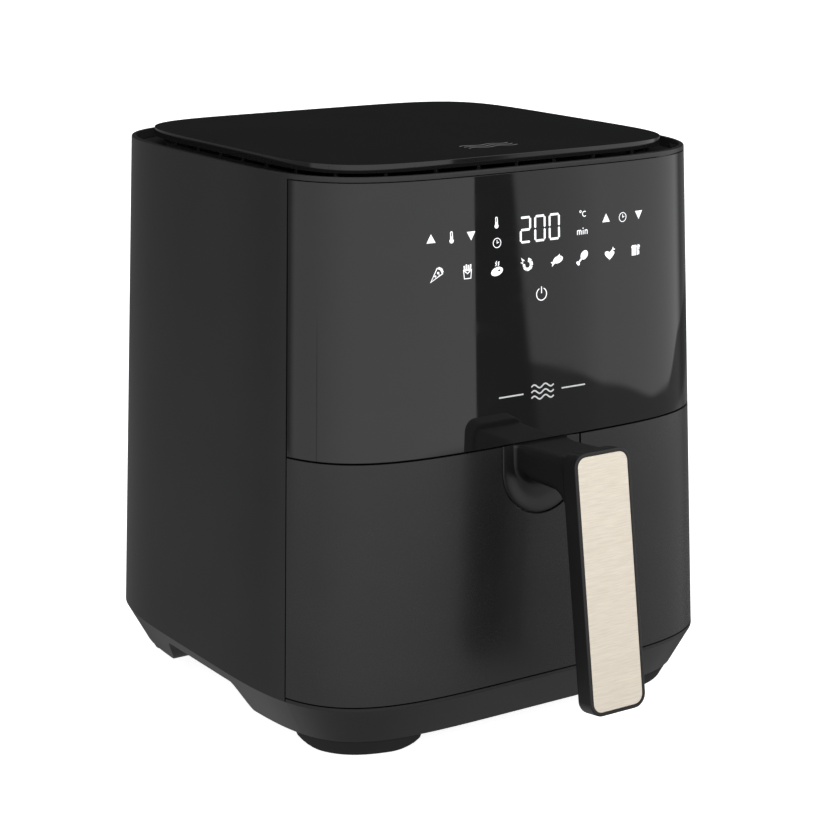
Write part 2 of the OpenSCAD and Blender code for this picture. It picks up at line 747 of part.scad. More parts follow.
power_w = 140;
power_h = 54;
power_y = frame_y + frame_t + 5;
power_cz = deck_z - deck_t - 10 - power_h / 2;
part_y = power_y + board_t;
module power_board() {
    color("#2d6b45") on_body() {
        translate([-power_w / 2, power_y, power_cz - power_h / 2]) cube([power_w, board_t, power_h]);
        for (x = [-1, 1], z = [-1, 1])
            translate([x * (power_w / 2 - 6), power_y - 5, power_cz + z * (power_h / 2 - 6)])
                rotate([-90, 0, 0]) cylinder(r = 3, h = 5.5);
    }
}
module relay() {
    color("#2b4f8c") on_body() translate([-60, part_y, power_cz - 10]) cube([19, 15, 16]);
}
module capacitor() {
    color("#c8b23a") on_body() translate([-30, part_y, power_cz - 8]) cube([18, 12, 14]);
}
module transformer() {
    color("#b8862f") on_body() translate([18, part_y, power_cz - 12]) cube([26, 14, 22]);
}
module thermal_cutout() {
    color("#4a4a4d") on_body() translate([chamber_w2 - 30, chamber_cy - 30, roof_z + insulation_t])
        cylinder(r = 8, h = 9);
}
probe_x = -(chamber_w2 - 24);
probe_y = chamber_back - 22;
module temperature_probe() {
    color(steel) on_body() translate([probe_x, probe_y, fan_z]) {
        cylinder(r = 2, h = roof_z - fan_z + insulation_t + 1);
        translate([0, 0, roof_z - fan_z + insulation_t]) cylinder(r = 4.5, h = 5);
    }
}

plunger_r = 2;
plunger_x = 70;
plunger_y = frame_y - 5.5;
plunger_z = inner_z1 + fit_gap;
plunger_h = 16;
switch_z = mid_z + 5.5;
module microswitch() {
    color("#1d1d1f") on_body() difference() {
        translate([plunger_x - 10, plunger_y - 4.5, switch_z]) cube([20, frame_y - plunger_y + 4.5, 14]);
        translate([plunger_x, plunger_y, switch_z - 1]) cylinder(r = plunger_r + 0.4, h = 13);
    }
}
module switch_plunger() {
    color("#d9d4c5") on_body() translate([plunger_x, plunger_y, plunger_z]) {
        translate([0, 0, plunger_r]) cylinder(r = plunger_r, h = plunger_h - plunger_r);
        translate([0, 0, plunger_r]) sphere(r = plunger_r);
    }
}

gland_back = body_d / 2 - 1;
gland_h = 20;
module cord_gland() {
    color(black) on_body() translate([gland_x, gland_back, gland_z]) rotate([90, 0, 0]) difference() {
        union() {
            cylinder(r = gland_r, h = gland_h);
            translate([0, 0, wall + 1.6]) cylinder(r = gland_r + 2.5, h = 2);
        }
        translate([0, 0, -1]) cylinder(r = cable_d / 2 + cable_gap, h = gland_h + 2);
    }
}
block_x = -28;
block_z = gland_z - 6;
module terminal_block() {
    color("#e6e2d8") on_body() difference() {
        translate([block_x - 13, chamber_back, block_z]) cube([26, 14, 14]);
        for (i = [-1:1]) translate([block_x + i * 8, chamber_back + 7, block_z + 8]) cylinder(r = 2, h = 7);
    }
}

// Bundles of wire inside the housing
wire_y = chamber_back + 7;
module mains_harness() {
    top = roof_z + insulation_t + 10;
    run = [
        [block_x, wire_y, block_z + 14.3], [block_x, wire_y, block_z + 40], [block_x - 22, wire_y, grille_z - 40],
        [-52, wire_y, grille_z], [-52, wire_y, top - 10], [-56, wire_y - 3, top], [-66, wire_y - 20, top + 6],
        [-76, chamber_cy + 10, top + 8], [-76, chamber_cy - 30, top + 14], [-68, part_y + 30, power_cz - 14],
        [-60, part_y + 12, power_cz - 18], [-55, part_y + 0.5, power_cz - 18]
    ];
    color("#c9c9c9") on_body() tube_along(curve_through(run, 4), 2, 8);
}
module heater_harness() {
    z = coil_top + 2.4;
    x = terminal_gap;
    y = chamber_cy + coil_r;
    run = [
        [x, y, z - 2], [x, y, z + 4], [x + 8, y - 3, z + 10], [x + 40, y - 24, z + 12], [74, chamber_cy + 10, z + 12],
        [76, chamber_cy - 30, z + 14], [64, part_y + 26, power_cz - 16], [56, part_y + 10, power_cz - 18],
        [52, part_y + 0.5, power_cz - 18]
    ];
    color("#b5473c") on_body() tube_along(curve_through(run, 4), 1.8, 8);
}

// Smooth curve through a route's points, each stretch in n steps
function curve_pt(a, b, c, d, u) =
    0.5 * (2 * b + (c - a) * u + (2 * a - 5 * b + 4 * c - d) * u * u + (3 * b - a - 3 * c + d) * u * u * u);
function curve_through(p, n) =
    let (last = len(p) - 1)
    concat(
        [
            for (i = [0:last - 1], j = [0:n - 1])
                curve_pt(p[max(i - 1, 0)], p[i], p[i + 1], p[min(i + 2, last)], j / n)
        ],
        [p[last]]
    );

module base_screws() {
    color("#8a8c90") on_body() for (t = screw_angles)
        translate([boss_pt(t)[0], boss_pt(t)[1], foot_h - 2]) {
            cylinder(r = 3.4, h = 2);
            cylinder(r = 1.5, h = 14);
        }
}

// ---------- Drawer ----------

drawer_z0 = drawer_z + seam_gap / 2;
drawer_z1 = mid_z - seam_gap / 2;
skin_t = 3;
inner_x = door_x + 6.5;
inner_t = 3;
inner_y = frame_y - gasket_t - fit_gap - inner_t;
pocket_z = mid_z - pocket_h + pocket_r;     // centre of the pocket's round end
stud_x = inner_x - 6;
stud_z = [inner_z0 + 10, inner_z1 - 10];
stud_r = 4;

// Prism with the pocket's U outline, open at the top
module pocket_prism(r, top) {
    rotate([90, 0, 0]) linear_extrude(body_d) {
        translate([0, pocket_z]) circle(r = r);
        translate([-r, pocket_z]) square([r * 2, top - pocket_z]);
    }
}

module drawer_front() {
    color("#38383a") on_body() {
        difference() {
            intersection() {
                body_wall(drawer_z0, drawer_z1, 0, skin_t);
                front_sector(drawer_z0 - 1, drawer_z1 + 1, seam_gap);
            }
            pocket_prism(pocket_r, mid_z + 1);
        }
        for (s = [-1, 1], z = stud_z) {
            y = outline_y(z, stud_x, skin_t - 1);
            translate([s * stud_x, inner_y, z]) rotate([90, 0, 0]) cylinder(r = stud_r, h = inner_y - y);
        }
    }
}
// Y of the front wall where it passes the given X, moved inwards by inset
function outline_y(z, x, inset) =
    inset - half_d(z) * pow(1 - pow((x + inset) / half_w(z), squareness), 1 / squareness);

module drawer_inner() {
    hz = (inner_z1 - inner_z0) / 2;
    hole_x = pan_x + fit_gap;
    color("#2b2b2d") on_body() difference() {
        translate([0, inner_y + inner_t, inner_z0 + hz]) rotate([90, 0, 0])
            linear_extrude(inner_t) polygon(round_rect(inner_x, hz, 8));
        translate([-hole_x, inner_y - 1, pan_z - 0.5])
            cube([hole_x * 2, inner_t + 2, pan_rim_z - pan_wall - fit_gap - pan_z + 0.5]);
        translate([-flange_x - fit_gap, inner_y - 1, pan_rim_z - pan_wall - fit_gap])
            cube([(flange_x + fit_gap) * 2, inner_t + 2, pan_wall + 2 * fit_gap]);
        for (s = [-1, 1], z = stud_z) translate([s * stud_x, inner_y - 1, z])
            rotate([-90, 0, 0]) cylinder(r = 1.8, h = inner_t + 2);
    }
}

shield_in = 2.6;
shield_t = 3;
shield_y = -half_d(pocket_z) + shield_in + shield_t;       // inner side of the shield
screw_xs = [-8, 8];
screw_z = mid_z - 9.4;
screw_len = 24;
screw_hole_r = 2.1;
module handle_shield() {
    color(black) on_body() difference() {
        intersection() {
            body_wall(drawer_z1 - pocket_h - 1, drawer_z1, shield_in, shield_t);
            pocket_prism(pocket_r - fit_gap, drawer_z1);
        }
        for (x = screw_xs) translate([x, shield_y + 2, screw_z]) rotate([90, 0, 0])
            cylinder(r = screw_hole_r, h = 10);
    }
}

// The arm is a run of rounded sections from the shield to the grip
arm_r = 5;
arm_z = mid_z - 17.2;               // underside of the arm where it is thinnest
arm_root_y = -half_d(mid_z) + shield_in + 0.6;
flare_y = -half_d(mid_z) - 20;      // where the underside's flare ends
flare_h = 12;
bend_r = 14;
bend_z = arm_z - bend_r;
function grip_back(z) = grip_face_y + grip_t / cos(grip_tilt) - (grip_top_z - z) * tan(grip_tilt);
bend_y = grip_back(bend_z) + bend_r;
function arm_section(y, z0, z1) = [
    for (p = round_rect(arm_w / 2, (z1 - z0) / 2, arm_r)) [p[0], y, p[1] + (z0 + z1) / 2]
];
function arm_top(y) =
    let (u = (y - arm_root_y) / (grip_back(bend_z) - arm_root_y)) drawer_z1 - 0.3 + 3 * u * u;
module arm() {
    flare = [
        for (i = [0:5]) let (u = i / 5) [mix(arm_root_y, flare_y, u), arm_z - flare_h * (1 - u) * (1 - u)]
    ];
    bend = [
        for (i = [0:6]) let (t = 14 * i) [bend_y - bend_r * sin(t), arm_z - bend_r * (1 - cos(t))]
    ];
    run = concat(flare, bend, [[grip_back(bend_z) - grip_t / 3, bend_z - 5]]);
    skin([for (p = run) arm_section(p[0], p[1], arm_top(p[0]))]);
}
module in_grip() {
    translate([0, grip_face_y, grip_top_z]) rotate([-grip_tilt, 0, 0]) translate([0, 0, -grip_len / 2])
        rotate([90, 0, 0]) children();
}
module handle() {
    r = 7;
    color(black) on_body() difference() {
        union() {
            arm();
            in_grip() round_slab(grip_w / 2, grip_len / 2, r, [
                [-grip_t, 2.4], [-grip_t + 0.7, 1.1], [-grip_t + 2.4, 0], [-1, 0], [-0.3, 0.3], [0, 0.9]
            ]);
        }
        in_grip() translate([0, 0, -inlay_t]) linear_extrude(inlay_t + 1)
            polygon(round_rect(grip_w / 2 - inlay_rim, grip_len / 2 - inlay_rim, r - inlay_rim));
        for (x = screw_xs) translate([x, arm_root_y + 1, screw_z]) rotate([90, 0, 0])
            cylinder(r = screw_hole_r, h = screw_len);
    }
}
inlay_gap = 0.1;
module handle_inlay() {
    edge = inlay_rim + inlay_gap;
    color("#d9d0bf") on_body() in_grip() translate([0, 0, -inlay_t]) linear_extrude(inlay_t - 0.1)
        polygon(round_rect(grip_w / 2 - edge, grip_len / 2 - edge, 7 - edge));
}

bracket_t = 1.6;
bracket_w = 40;
bracket_y = shield_y + 1;
module handle_bracket() {
    low = pan_rim_z - 24;
    color(steel) on_body() {
        difference() {
            translate([-bracket_w / 2, bracket_y, low]) cube([bracket_w, bracket_t, mid_z - 6 - low]);
            for (x = screw_xs) translate([x, bracket_y - 1, screw_z]) rotate([-90, 0, 0])
                cylinder(r = screw_hole_r, h = bracket_t + 2);
        }
        for (s = [-1, 1]) translate([s * (bracket_w / 2 - 0.8) - 0.8, bracket_y + bracket_t / 2, low])
            cube([1.6, pan_front - bracket_y - bracket_t / 2, 18]);
    }
}
module handle_screws() {
    color("#a5a7aa") on_body() for (x = screw_xs)
        translate([x, bracket_y + bracket_t, screw_z]) rotate([90, 0, 0]) {
        translate([0, 0, -2.4]) cylinder(r = 3.8, h = 2.4);
        translate([0, 0, -0.5]) cylinder(r = screw_hole_r - 0.1, h = screw_len);
    }
}

pan_floor_t = 1.5;
module pan() {
    bend = 9;
    steps = 4;
    outside = [
        for (i = [0:steps])
            let (t = 90 * i / steps) rect_loop(pan_x - bend * (1 - sin(t)), pan_hy - bend * (1 - sin(t)),
                pan_r - bend * (1 - sin(t)), pan_z + bend * (1 - cos(t)))
    ];
    r_in = bend - pan_wall;
    inside = [
        for (i = [steps:-1:0])
            let (t = 90 * i / steps, d = pan_wall + r_in * (1 - sin(t)))
            rect_loop(pan_x - d, pan_hy - d, pan_r - d, pan_z + pan_floor_t + r_in * (1 - cos(t)))
    ];
    flange = [
        rect_loop(pan_x, pan_hy, pan_r, pan_rim_z - pan_wall),
        rect_loop(flange_x, pan_hy + flange_w, pan_r + flange_w, pan_rim_z - pan_wall),
        rect_loop(flange_x, pan_hy + flange_w, pan_r + flange_w, pan_rim_z),
        rect_loop(pan_x - pan_wall, pan_hy - pan_wall, pan_r - pan_wall, pan_rim_z)
    ];
    color("#3a3a3d") on_body() translate([0, pan_y, 0]) skin(concat(outside, flange, inside));
}

// ---------- Crisper plate ----------

plate_t = 1.5;
plate_low = pan_z + pan_floor_t + plate_z;
plate_x = pan_x - pan_wall - plate_gap;
plate_hy = pan_hy - pan_wall - plate_gap;
plate_r = pan_r - pan_wall - plate_gap;
bumper_in = 16.5;                     // middle of a bumper, in from the plate's edge
bumper_x = plate_x - bumper_in;
bumper_y = plate_hy - bumper_in;
loop_x = 10.5;                        // middle of each leg of the pull loop
loop_w = 5;
loop_t = 4;
loop_h = 20;
neck_r = 4;
module crisper_plate() {
    pitch = 17;
    cols = floor((plate_x - 26) / pitch);
    rows = floor((plate_hy - 26) / pitch);
    color("#2f2f32") on_body() translate([0, pan_y, plate_low]) {
        linear_extrude(plate_t) difference() {
            polygon(round_rect(plate_x, plate_hy, plate_r));
            for (i = [-cols:cols], j = [-rows:rows])
                if (norm([i, j]) > 1) translate([i, j] * pitch) circle(r = 3.2);
            for (x = [-1, 1], y = [-1, 1])
                translate([x * bumper_x, y * bumper_y]) circle(r = neck_r + shaft_gap);
            for (s = [-1, 1]) translate([s * loop_x, 0])
                square([loop_w + 2 * shaft_gap, loop_t + 2 * shaft_gap], center = true);
        }
        translate([0, loop_t / 2, plate_t]) rotate([90, 0, 0]) linear_extrude(loop_t) difference() {
            polygon(round_rect(loop_x + loop_w / 2, loop_h, 8));
            polygon(round_rect(loop_x - loop_w / 2, loop_h - loop_w, 5));
            translate([-body_w, -plate_t - 2 - loop_h * 2]) square([body_w * 2, loop_h * 2]);
        }
    }
}
module plate_bumpers() {
    r = 6.5;
    color("#26262a") on_body() translate([0, pan_y, 0])
        for (x = [-1, 1], y = [-1, 1]) translate([x * bumper_x, y * bumper_y, 0]) {
            translate([0, 0, pan_z + pan_floor_t + fit_gap]) cylinder(r = r, h = plate_z - fit_gap);
            translate([0, 0, plate_low - 1]) cylinder(r = neck_r, h = plate_t + 2);
            translate([0, 0, plate_low + plate_t]) cylinder(r = r, h = 3);
        }
}

// ---------- Fan rotor ----------

shaft_low = fan_z - 6;
module motor_shaft() {
    color("#c5c7ca") at_shaft() translate([0, 0, shaft_low]) cylinder(r = shaft_r, h = cap_z + 7 - shaft_low);
}
module rotor_core() {
    color("#8b8d92") at_shaft() difference() {
        translate([0, 0, stator_z]) cylinder(r = rotor_r, h = stator_h);
        translate([0, 0, stator_z - 1]) cylinder(r = shaft_r, h = stator_h + 2);
    }
}

// Flat disc with upright blades and a hub
module fan_wheel(r, h, hub, blades, disc_at_top) {
    t = 1;
    difference() {
        union() {
            translate([0, 0, disc_at_top ? h - t : 0]) cylinder(r = r, h = t);
            cylinder(r = hub, h = h);
            for (i = [0:blades - 1]) rotate(i * 360 / blades) translate([hub - 1, -t / 2, t / 2])
                cube([r - hub - 1, t, h - t]);
        }
        translate([0, 0, -1]) cylinder(r = shaft_r, h = h + 2);
    }
}
module hot_air_fan() {
    color("#a9abaf") at_shaft() translate([0, 0, fan_z]) fan_wheel(hot_fan_r, fan_h, 9, 12, true);
}
module cooling_fan() {
    color("#3c3c40") at_shaft() translate([0, 0, cool_fan_z]) fan_wheel(cool_fan_d / 2, cool_fan_h, 9, 10, true);
}
module fan_nut() {
    color("#c5c7ca") at_shaft() difference() {
        translate([0, 0, fan_z - 5]) cylinder(r = 6.5, h = 5, $fn = 6);
        translate([0, 0, fan_z - 6]) cylinder(r = shaft_r, h = 7);
    }
}

outer_shell();
base_tub();
control_panel();
top_deck();
lid();
lid_spacer();
foot_front_left();
foot_front_right();
foot_rear_left();
foot_rear_right();
front_frame();
door_gasket();
chamber_liner();
pan_rail_left();
pan_rail_right();
roof_insulation();
heating_element();
element_clips();
element_guard();
motor_bridge();
stator_core();
stator_winding();
motor_cap();
bush_lower();
bush_upper();
air_duct();
exhaust_duct();
rear_grille();
control_board();
display_module();
touch_pads();
board_carrier();
power_board();
relay();
capacitor();
transformer();
thermal_cutout();
temperature_probe();
microswitch();
cord_gland();
terminal_block();
mains_harness();
heater_harness();
base_screws();
drawer_front();
drawer_inner();
handle_shield();
handle();
handle_inlay();
handle_bracket();
handle_screws();
pan();
crisper_plate();
plate_bumpers();
motor_shaft();
rotor_core();
hot_air_fan();
cooling_fan();
fan_nut();
switch_plunger();
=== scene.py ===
import json
import math
import bpy
from mathutils import Matrix, Vector

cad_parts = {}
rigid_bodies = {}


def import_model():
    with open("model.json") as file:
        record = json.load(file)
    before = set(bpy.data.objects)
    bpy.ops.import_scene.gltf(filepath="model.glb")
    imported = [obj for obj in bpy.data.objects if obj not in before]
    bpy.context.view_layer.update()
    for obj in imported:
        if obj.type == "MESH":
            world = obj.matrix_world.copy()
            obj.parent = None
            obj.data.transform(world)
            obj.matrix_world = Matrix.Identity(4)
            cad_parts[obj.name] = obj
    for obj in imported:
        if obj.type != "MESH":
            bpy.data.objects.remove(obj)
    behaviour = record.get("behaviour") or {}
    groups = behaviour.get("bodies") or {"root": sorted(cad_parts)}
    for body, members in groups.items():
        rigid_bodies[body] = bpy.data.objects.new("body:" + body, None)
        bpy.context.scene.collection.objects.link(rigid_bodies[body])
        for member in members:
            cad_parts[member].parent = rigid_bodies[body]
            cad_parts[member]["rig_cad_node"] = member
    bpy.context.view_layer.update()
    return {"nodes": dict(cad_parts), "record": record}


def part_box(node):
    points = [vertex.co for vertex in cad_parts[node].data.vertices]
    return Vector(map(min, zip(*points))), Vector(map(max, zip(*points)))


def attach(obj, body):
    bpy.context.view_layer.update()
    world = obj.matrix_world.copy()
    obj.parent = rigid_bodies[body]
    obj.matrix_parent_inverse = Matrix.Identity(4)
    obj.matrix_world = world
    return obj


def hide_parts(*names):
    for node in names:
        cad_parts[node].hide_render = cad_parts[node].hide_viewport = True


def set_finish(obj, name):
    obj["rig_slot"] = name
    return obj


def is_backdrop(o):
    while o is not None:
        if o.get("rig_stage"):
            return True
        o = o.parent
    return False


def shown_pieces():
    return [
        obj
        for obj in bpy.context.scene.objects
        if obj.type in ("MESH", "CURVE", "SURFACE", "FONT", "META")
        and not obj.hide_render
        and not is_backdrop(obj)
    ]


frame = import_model()

nodes = frame["nodes"]
record = frame["record"]
print("frame loaded with", len(nodes), "nodes")

mm = 0.001
shellLow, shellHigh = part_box("outer_shell")
tubLow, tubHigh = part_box("base_tub")
drawerLow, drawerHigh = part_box("drawer_front")
panelLow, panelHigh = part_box("control_panel")
lidLow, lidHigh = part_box("lid")
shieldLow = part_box("handle_shield")[0]
middleY = (tubLow.y + tubHigh.y) / 2

body = {
    "halfWidth": tubHigh.x,
    "halfDepth": (tubHigh.y - tubLow.y) / 2,
    "squareness": 4.48,
    "sideLean": 10.1 * mm,        # how much narrower it is at the rim, each side
    "frontLean": 9.7 * mm,
    "crease": shellLow.z,
    "rim": shellHigh.z,
    "lip": tubLow.z,
    "wall": 2.5 * mm,
    "seam": 34.2,                 # plan angle of the two upright seams, from the side axis
    "gap": 0.6 * mm,
}


# helpers for modelling
def deselectAll():
    if bpy.context.object and bpy.context.object.mode != "OBJECT":
        bpy.ops.object.mode_set(mode="OBJECT")
    bpy.ops.object.select_all(action="DESELECT")


def pickOut(*objects):
    deselectAll()
    for one in objects:
        one.select_set(True)
    bpy.context.view_layer.objects.active = objects[0]


def clearPicks(piece, kind):
    pickOut(piece)
    bpy.ops.object.mode_set(mode="EDIT")
    bpy.ops.mesh.select_mode(type=kind)
    bpy.ops.mesh.select_all(action="DESELECT")
    bpy.ops.object.mode_set(mode="OBJECT")


def editFaces(piece, test):
    # opens the piece for editing with the faces that pass the test selected
    clearPicks(piece, "FACE")
    for face in piece.data.polygons:
        face.select = bool(test(face.center, face.normal))
    bpy.ops.object.mode_set(mode="EDIT")


def editEdges(piece, test):
    # the same for edges, tested by their two ends
    clearPicks(piece, "EDGE")
    points = piece.data.vertices
    for edge in piece.data.edges:
        edge.select = bool(test(points[edge.vertices[0]].co, points[edge.vertices[1]].co))
    bpy.ops.object.mode_set(mode="EDIT")


def leaveEdit():
    bpy.ops.object.mode_set(mode="OBJECT")


def settle(piece):
    # puts the object's own place into its mesh
    pickOut(piece)
    bpy.ops.object.transform_apply(location=True, rotation=True, scale=True)


def modify(piece, kind, **settings):
    pickOut(piece)
    modifier = piece.modifiers.new(kind.title(), kind)
    for name, value in settings.items():
        setattr(modifier, name, value)
    bpy.ops.object.modifier_apply(modifier=modifier.name)


def cutWith(piece, cutter, operation="DIFFERENCE"):
    modify(piece, "BOOLEAN", operation=operation, object=cutter, solver="EXACT")
    bpy.data.objects.remove(cutter)


def mergeDoubles(piece, distance=1e-6):
    editFaces(piece, lambda centre, normal: True)
    bpy.ops.mesh.remove_doubles(threshold=distance)
    bpy.ops.mesh.normals_make_consistent(inside=False)
    leaveEdit()


def faceAway(piece, centre):
    # turns an open sheet so that its faces point away from the centre
    turned = sum((face.center - centre).dot(face.normal) * face.area for face in piece.data.polygons)
    if turned < 0:
        editFaces(piece, lambda centre, normal: True)
        bpy.ops.mesh.flip_normals()
        leaveEdit()


def roundEdges(piece, width, segments=3, angle=35):
    modify(piece, "BEVEL", width=width, segments=segments, limit_method="ANGLE",
           angle_limit=math.radians(angle), use_clamp_overlap=True)


def smooth(piece, angle=35):
    pickOut(piece)
    bpy.ops.object.shade_smooth_by_angle(angle=math.radians(angle))
    modify(piece, "WEIGHTED_NORMAL", keep_sharp=True)


def spread(start, end, count):
    return [start + (end - start) * i / count for i in range(count + 1)]


def ease(value, low, high):
    u = min(1.0, max(0.0, (value - low) / (high - low)))
    return u * u * (3 - 2 * u)


def gridPiece(name, across, along, place):
    # a grid primitive whose lines are laid on a shape: across and along list where they go
    deselectAll()
    bpy.ops.mesh.primitive_grid_add(x_subdivisions=len(across) - 1, y_subdivisions=len(along) - 1, size=1)
    piece = bpy.context.object
    piece.name = name
    for point in piece.data.vertices:
        i = round((point.co.x + 0.5) * (len(across) - 1))
        j = round((point.co.y + 0.5) * (len(along) - 1))
        point.co = place(across[i], along[j])
    return piece


def corners(steps):
    # quarter and part of it for every point round a rounded rectangle, and the first point again
    return [(quarter, j / steps) for quarter in range(4) for j in range(steps + 1)] + [(0, 0)]


def roundedPoint(half, low, high, topRound, bottomRound, corner):
    quarter, part = corner
    turn = math.radians(90 * (quarter + part))
    r = topRound if quarter < 2 else bottomRound
    u = half - r if quarter in (0, 3) else r - half
    v = high - r if quarter < 2 else low + r
    return u + r * math.cos(turn), v + r * math.sin(turn)


def fillRim(piece, test):
    # closes the open edge loops whose edges pass the test
    editEdges(piece, test)
    bpy.ops.mesh.edge_face_add()
    leaveEdit()


def tidyOff(piece, body, slot, *replaced):
    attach(piece, body)
    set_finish(piece, slot)
    if replaced:
        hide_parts(*replaced)
    print("made", piece.name, len(piece.data.polygons), "faces")


# the body's outline
def outlinePoint(halfWidth, halfDepth, squareness, angle, inset=0.0):
    c, s = math.cos(math.radians(angle)), math.sin(math.radians(angle))
    r = ((abs(c) / halfWidth) ** squareness + (abs(s) / halfDepth) ** squareness) ** (-1 / squareness)
    gx = math.copysign((abs(r * c) / halfWidth) ** (squareness - 1) / halfWidth, c)
    gy = math.copysign((abs(r * s) / halfDepth) ** (squareness - 1) / halfDepth, s)
    g = math.hypot(gx, gy)
    return r * c - inset * gx / g, r * s - inset * gy / g


def halves(z):
    lean = max(0.0, z - body["crease"]) / (body["rim"] - body["crease"])
    return body["halfWidth"] - body["sideLean"] * lean, body["halfDepth"] - body["frontLean"] * lean


def bodyPoint(angle, z, inset=0.0):
    x, y = outlinePoint(*halves(z), body["squareness"], angle, inset)
    return Vector((x, y + middleY, z))


def frontY(x, z, inset=0.0):
    # the front wall's y at a given x, moved inwards by the inset
    halfWidth, halfDepth = halves(z)
    u = min(0.999, abs(x) / (halfWidth - inset))
    return middleY - (halfDepth - inset) * (1 - u ** body["squareness"]) ** (1 / body["squareness"])


leftSeam, rightSeam = 180 + body["seam"], 360 - body["seam"]
gapAngle = math.degrees(body["gap"] / body["halfWidth"])
inside = Vector((0, middleY, 0.15))


# outer shell
shell = {
    "rimRound": 0.9 * mm, "edgeRound": 0.35 * mm, "step": 1.2, "panelGap": 0.3 * mm, "windowGap": 0.3 * mm,
    "levels": [0.09, 0.15, 0.21, 0.26],
}


def makeShell():
    overPanel = panelHigh.z + shell["panelGap"]
    turns = round((leftSeam - (rightSeam - 360)) / shell["step"])
    back = gridPiece("shell", spread(rightSeam - 360, leftSeam, turns),
                     [body["crease"], *shell["levels"], overPanel, body["rim"]], bodyPoint)
    turns = round((rightSeam - leftSeam) / shell["step"])
    band = gridPiece("band", spread(leftSeam, rightSeam, turns), [overPanel, body["rim"]], bodyPoint)
    pickOut(back, band)
    bpy.ops.object.join()
    mergeDoubles(back)
    faceAway(back, inside)
    modify(back, "SOLIDIFY", thickness=body["wall"], offset=-1, use_even_offset=True)
    low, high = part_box("rear_grille")
    bpy.ops.mesh.primitive_cube_add(size=1, location=(0, high.y, (low.z + high.z) / 2))
    window = bpy.context.object
    window.scale = (high.x - low.x + shell["windowGap"], 0.04, high.z - low.z + shell["windowGap"])
    cutWith(back, window)
    low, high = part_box("cord_gland")
    bpy.ops.mesh.primitive_cylinder_add(vertices=48, radius=(high.x - low.x) / 2 - 2 * mm, depth=0.06,
                                        location=((low.x + high.x) / 2, tubHigh.y, (low.z + high.z) / 2),
                                        rotation=(math.pi / 2, 0, 0))
    cutWith(back, bpy.context.object)

    def onRim(point):
        outside = bodyPoint(math.degrees(math.atan2(point.y - middleY, point.x)), point.z)
        return point.z > body["rim"] - 1e-5 and (point.xy - outside.xy).length < 0.4 * mm
    editEdges(back, lambda a, b: onRim(a) and onRim(b))
    bpy.ops.mesh.bevel(offset=shell["rimRound"], segments=4, affect="EDGES")
    leaveEdit()
    roundEdges(back, shell["edgeRound"], 2, 50)
    smooth(back, 40)
    tidyOff(back, "housing", "shell_plastic", "outer_shell")


# base tub with its chamfer and side arches
base = {
    "chamferIn": 11.1 * mm, "archRise": 14.4 * mm, "archHalf": 46 * mm, "archRamp": 12 * mm,
    "archSteps": 14, "edgeRound": 0.5 * mm, "sides": 240,
}


def makeBase():
    strip = tubHigh.z
    turns = sorted({*spread(0, 360, base["sides"]), leftSeam + gapAngle, rightSeam - gapAngle})
    levels = [body["lip"], body["crease"], strip]
    insets = dict(zip(levels, (base["chamferIn"], 0, 0)))

    def place(angle, z):
        point = bodyPoint(angle, body["crease"], insets[z])
        return Vector((point.x, point.y, z))
    tub = gridPiece("base", turns, levels, place)
    mergeDoubles(tub)
    fillRim(tub, lambda a, b: max(a.z, b.z) < body["lip"] + 1e-6)
    fillRim(tub, lambda a, b: min(a.z, b.z) > strip - 1e-6)
    mergeDoubles(tub)
    # the tunnel between the two side arches
    half, ramp, rise, steps = base["archHalf"], base["archRamp"], base["archRise"], base["archSteps"]
    profile = [(-half + ramp * i / steps, rise * (1 - math.cos(math.pi * i / steps)) / 2)
               for i in range(steps + 1)]
    profile += [(-y, z) for y, z in reversed(profile)]
    tunnel = gridPiece("tunnel", list(range(len(profile))), [-0.2, 0.2],
                       lambda i, x: Vector((x, middleY + profile[i][0], body["lip"] + profile[i][1])))
    editFaces(tunnel, lambda centre, normal: True)
    bpy.ops.mesh.extrude_region_move(TRANSFORM_OT_translate={"value": (0, 0, -0.03)})
    bpy.ops.mesh.select_all(action="SELECT")
    bpy.ops.mesh.normals_make_consistent(inside=False)
    leaveEdit()
    cutWith(tub, tunnel)
    # open the top, and take the strip off everywhere but the front
    editFaces(tub, lambda centre, normal: normal.z > 0.9 and centre.z > strip - 1e-5)
    bpy.ops.mesh.delete(type="FACE")
    leaveEdit()

    def offStrip(centre, normal):
        turn = math.degrees(math.atan2(centre.y - middleY, centre.x)) % 360
        return centre.z > body["crease"] + 1e-4 and not leftSeam + gapAngle < turn < rightSeam - gapAngle
    editFaces(tub, offStrip)
    bpy.ops.mesh.delete(type="FACE")
    leaveEdit()
    modify(tub, "SOLIDIFY", thickness=body["wall"], offset=-1, use_even_offset=False)
    roundEdges(tub, base["edgeRound"], 2, 28)
    smooth(tub, 40)
    tidyOff(tub, "housing", "shell_plastic", "base_tub")


# rubber feet
foot = {
    "halfAngle": 15.5, "width": 18 * mm, "in": 0.8 * mm, "draft": 5.4 * mm, "flat": 0.6, "edgeRound": 1.4 * mm,
    "places": {"footFrontLeft": ("foot_front_left", 227.4), "footFrontRight": ("foot_front_right", 312.6),
               "footRearLeft": ("foot_rear_left", 132.6), "footRearRight": ("foot_rear_right", 47.4)},
}


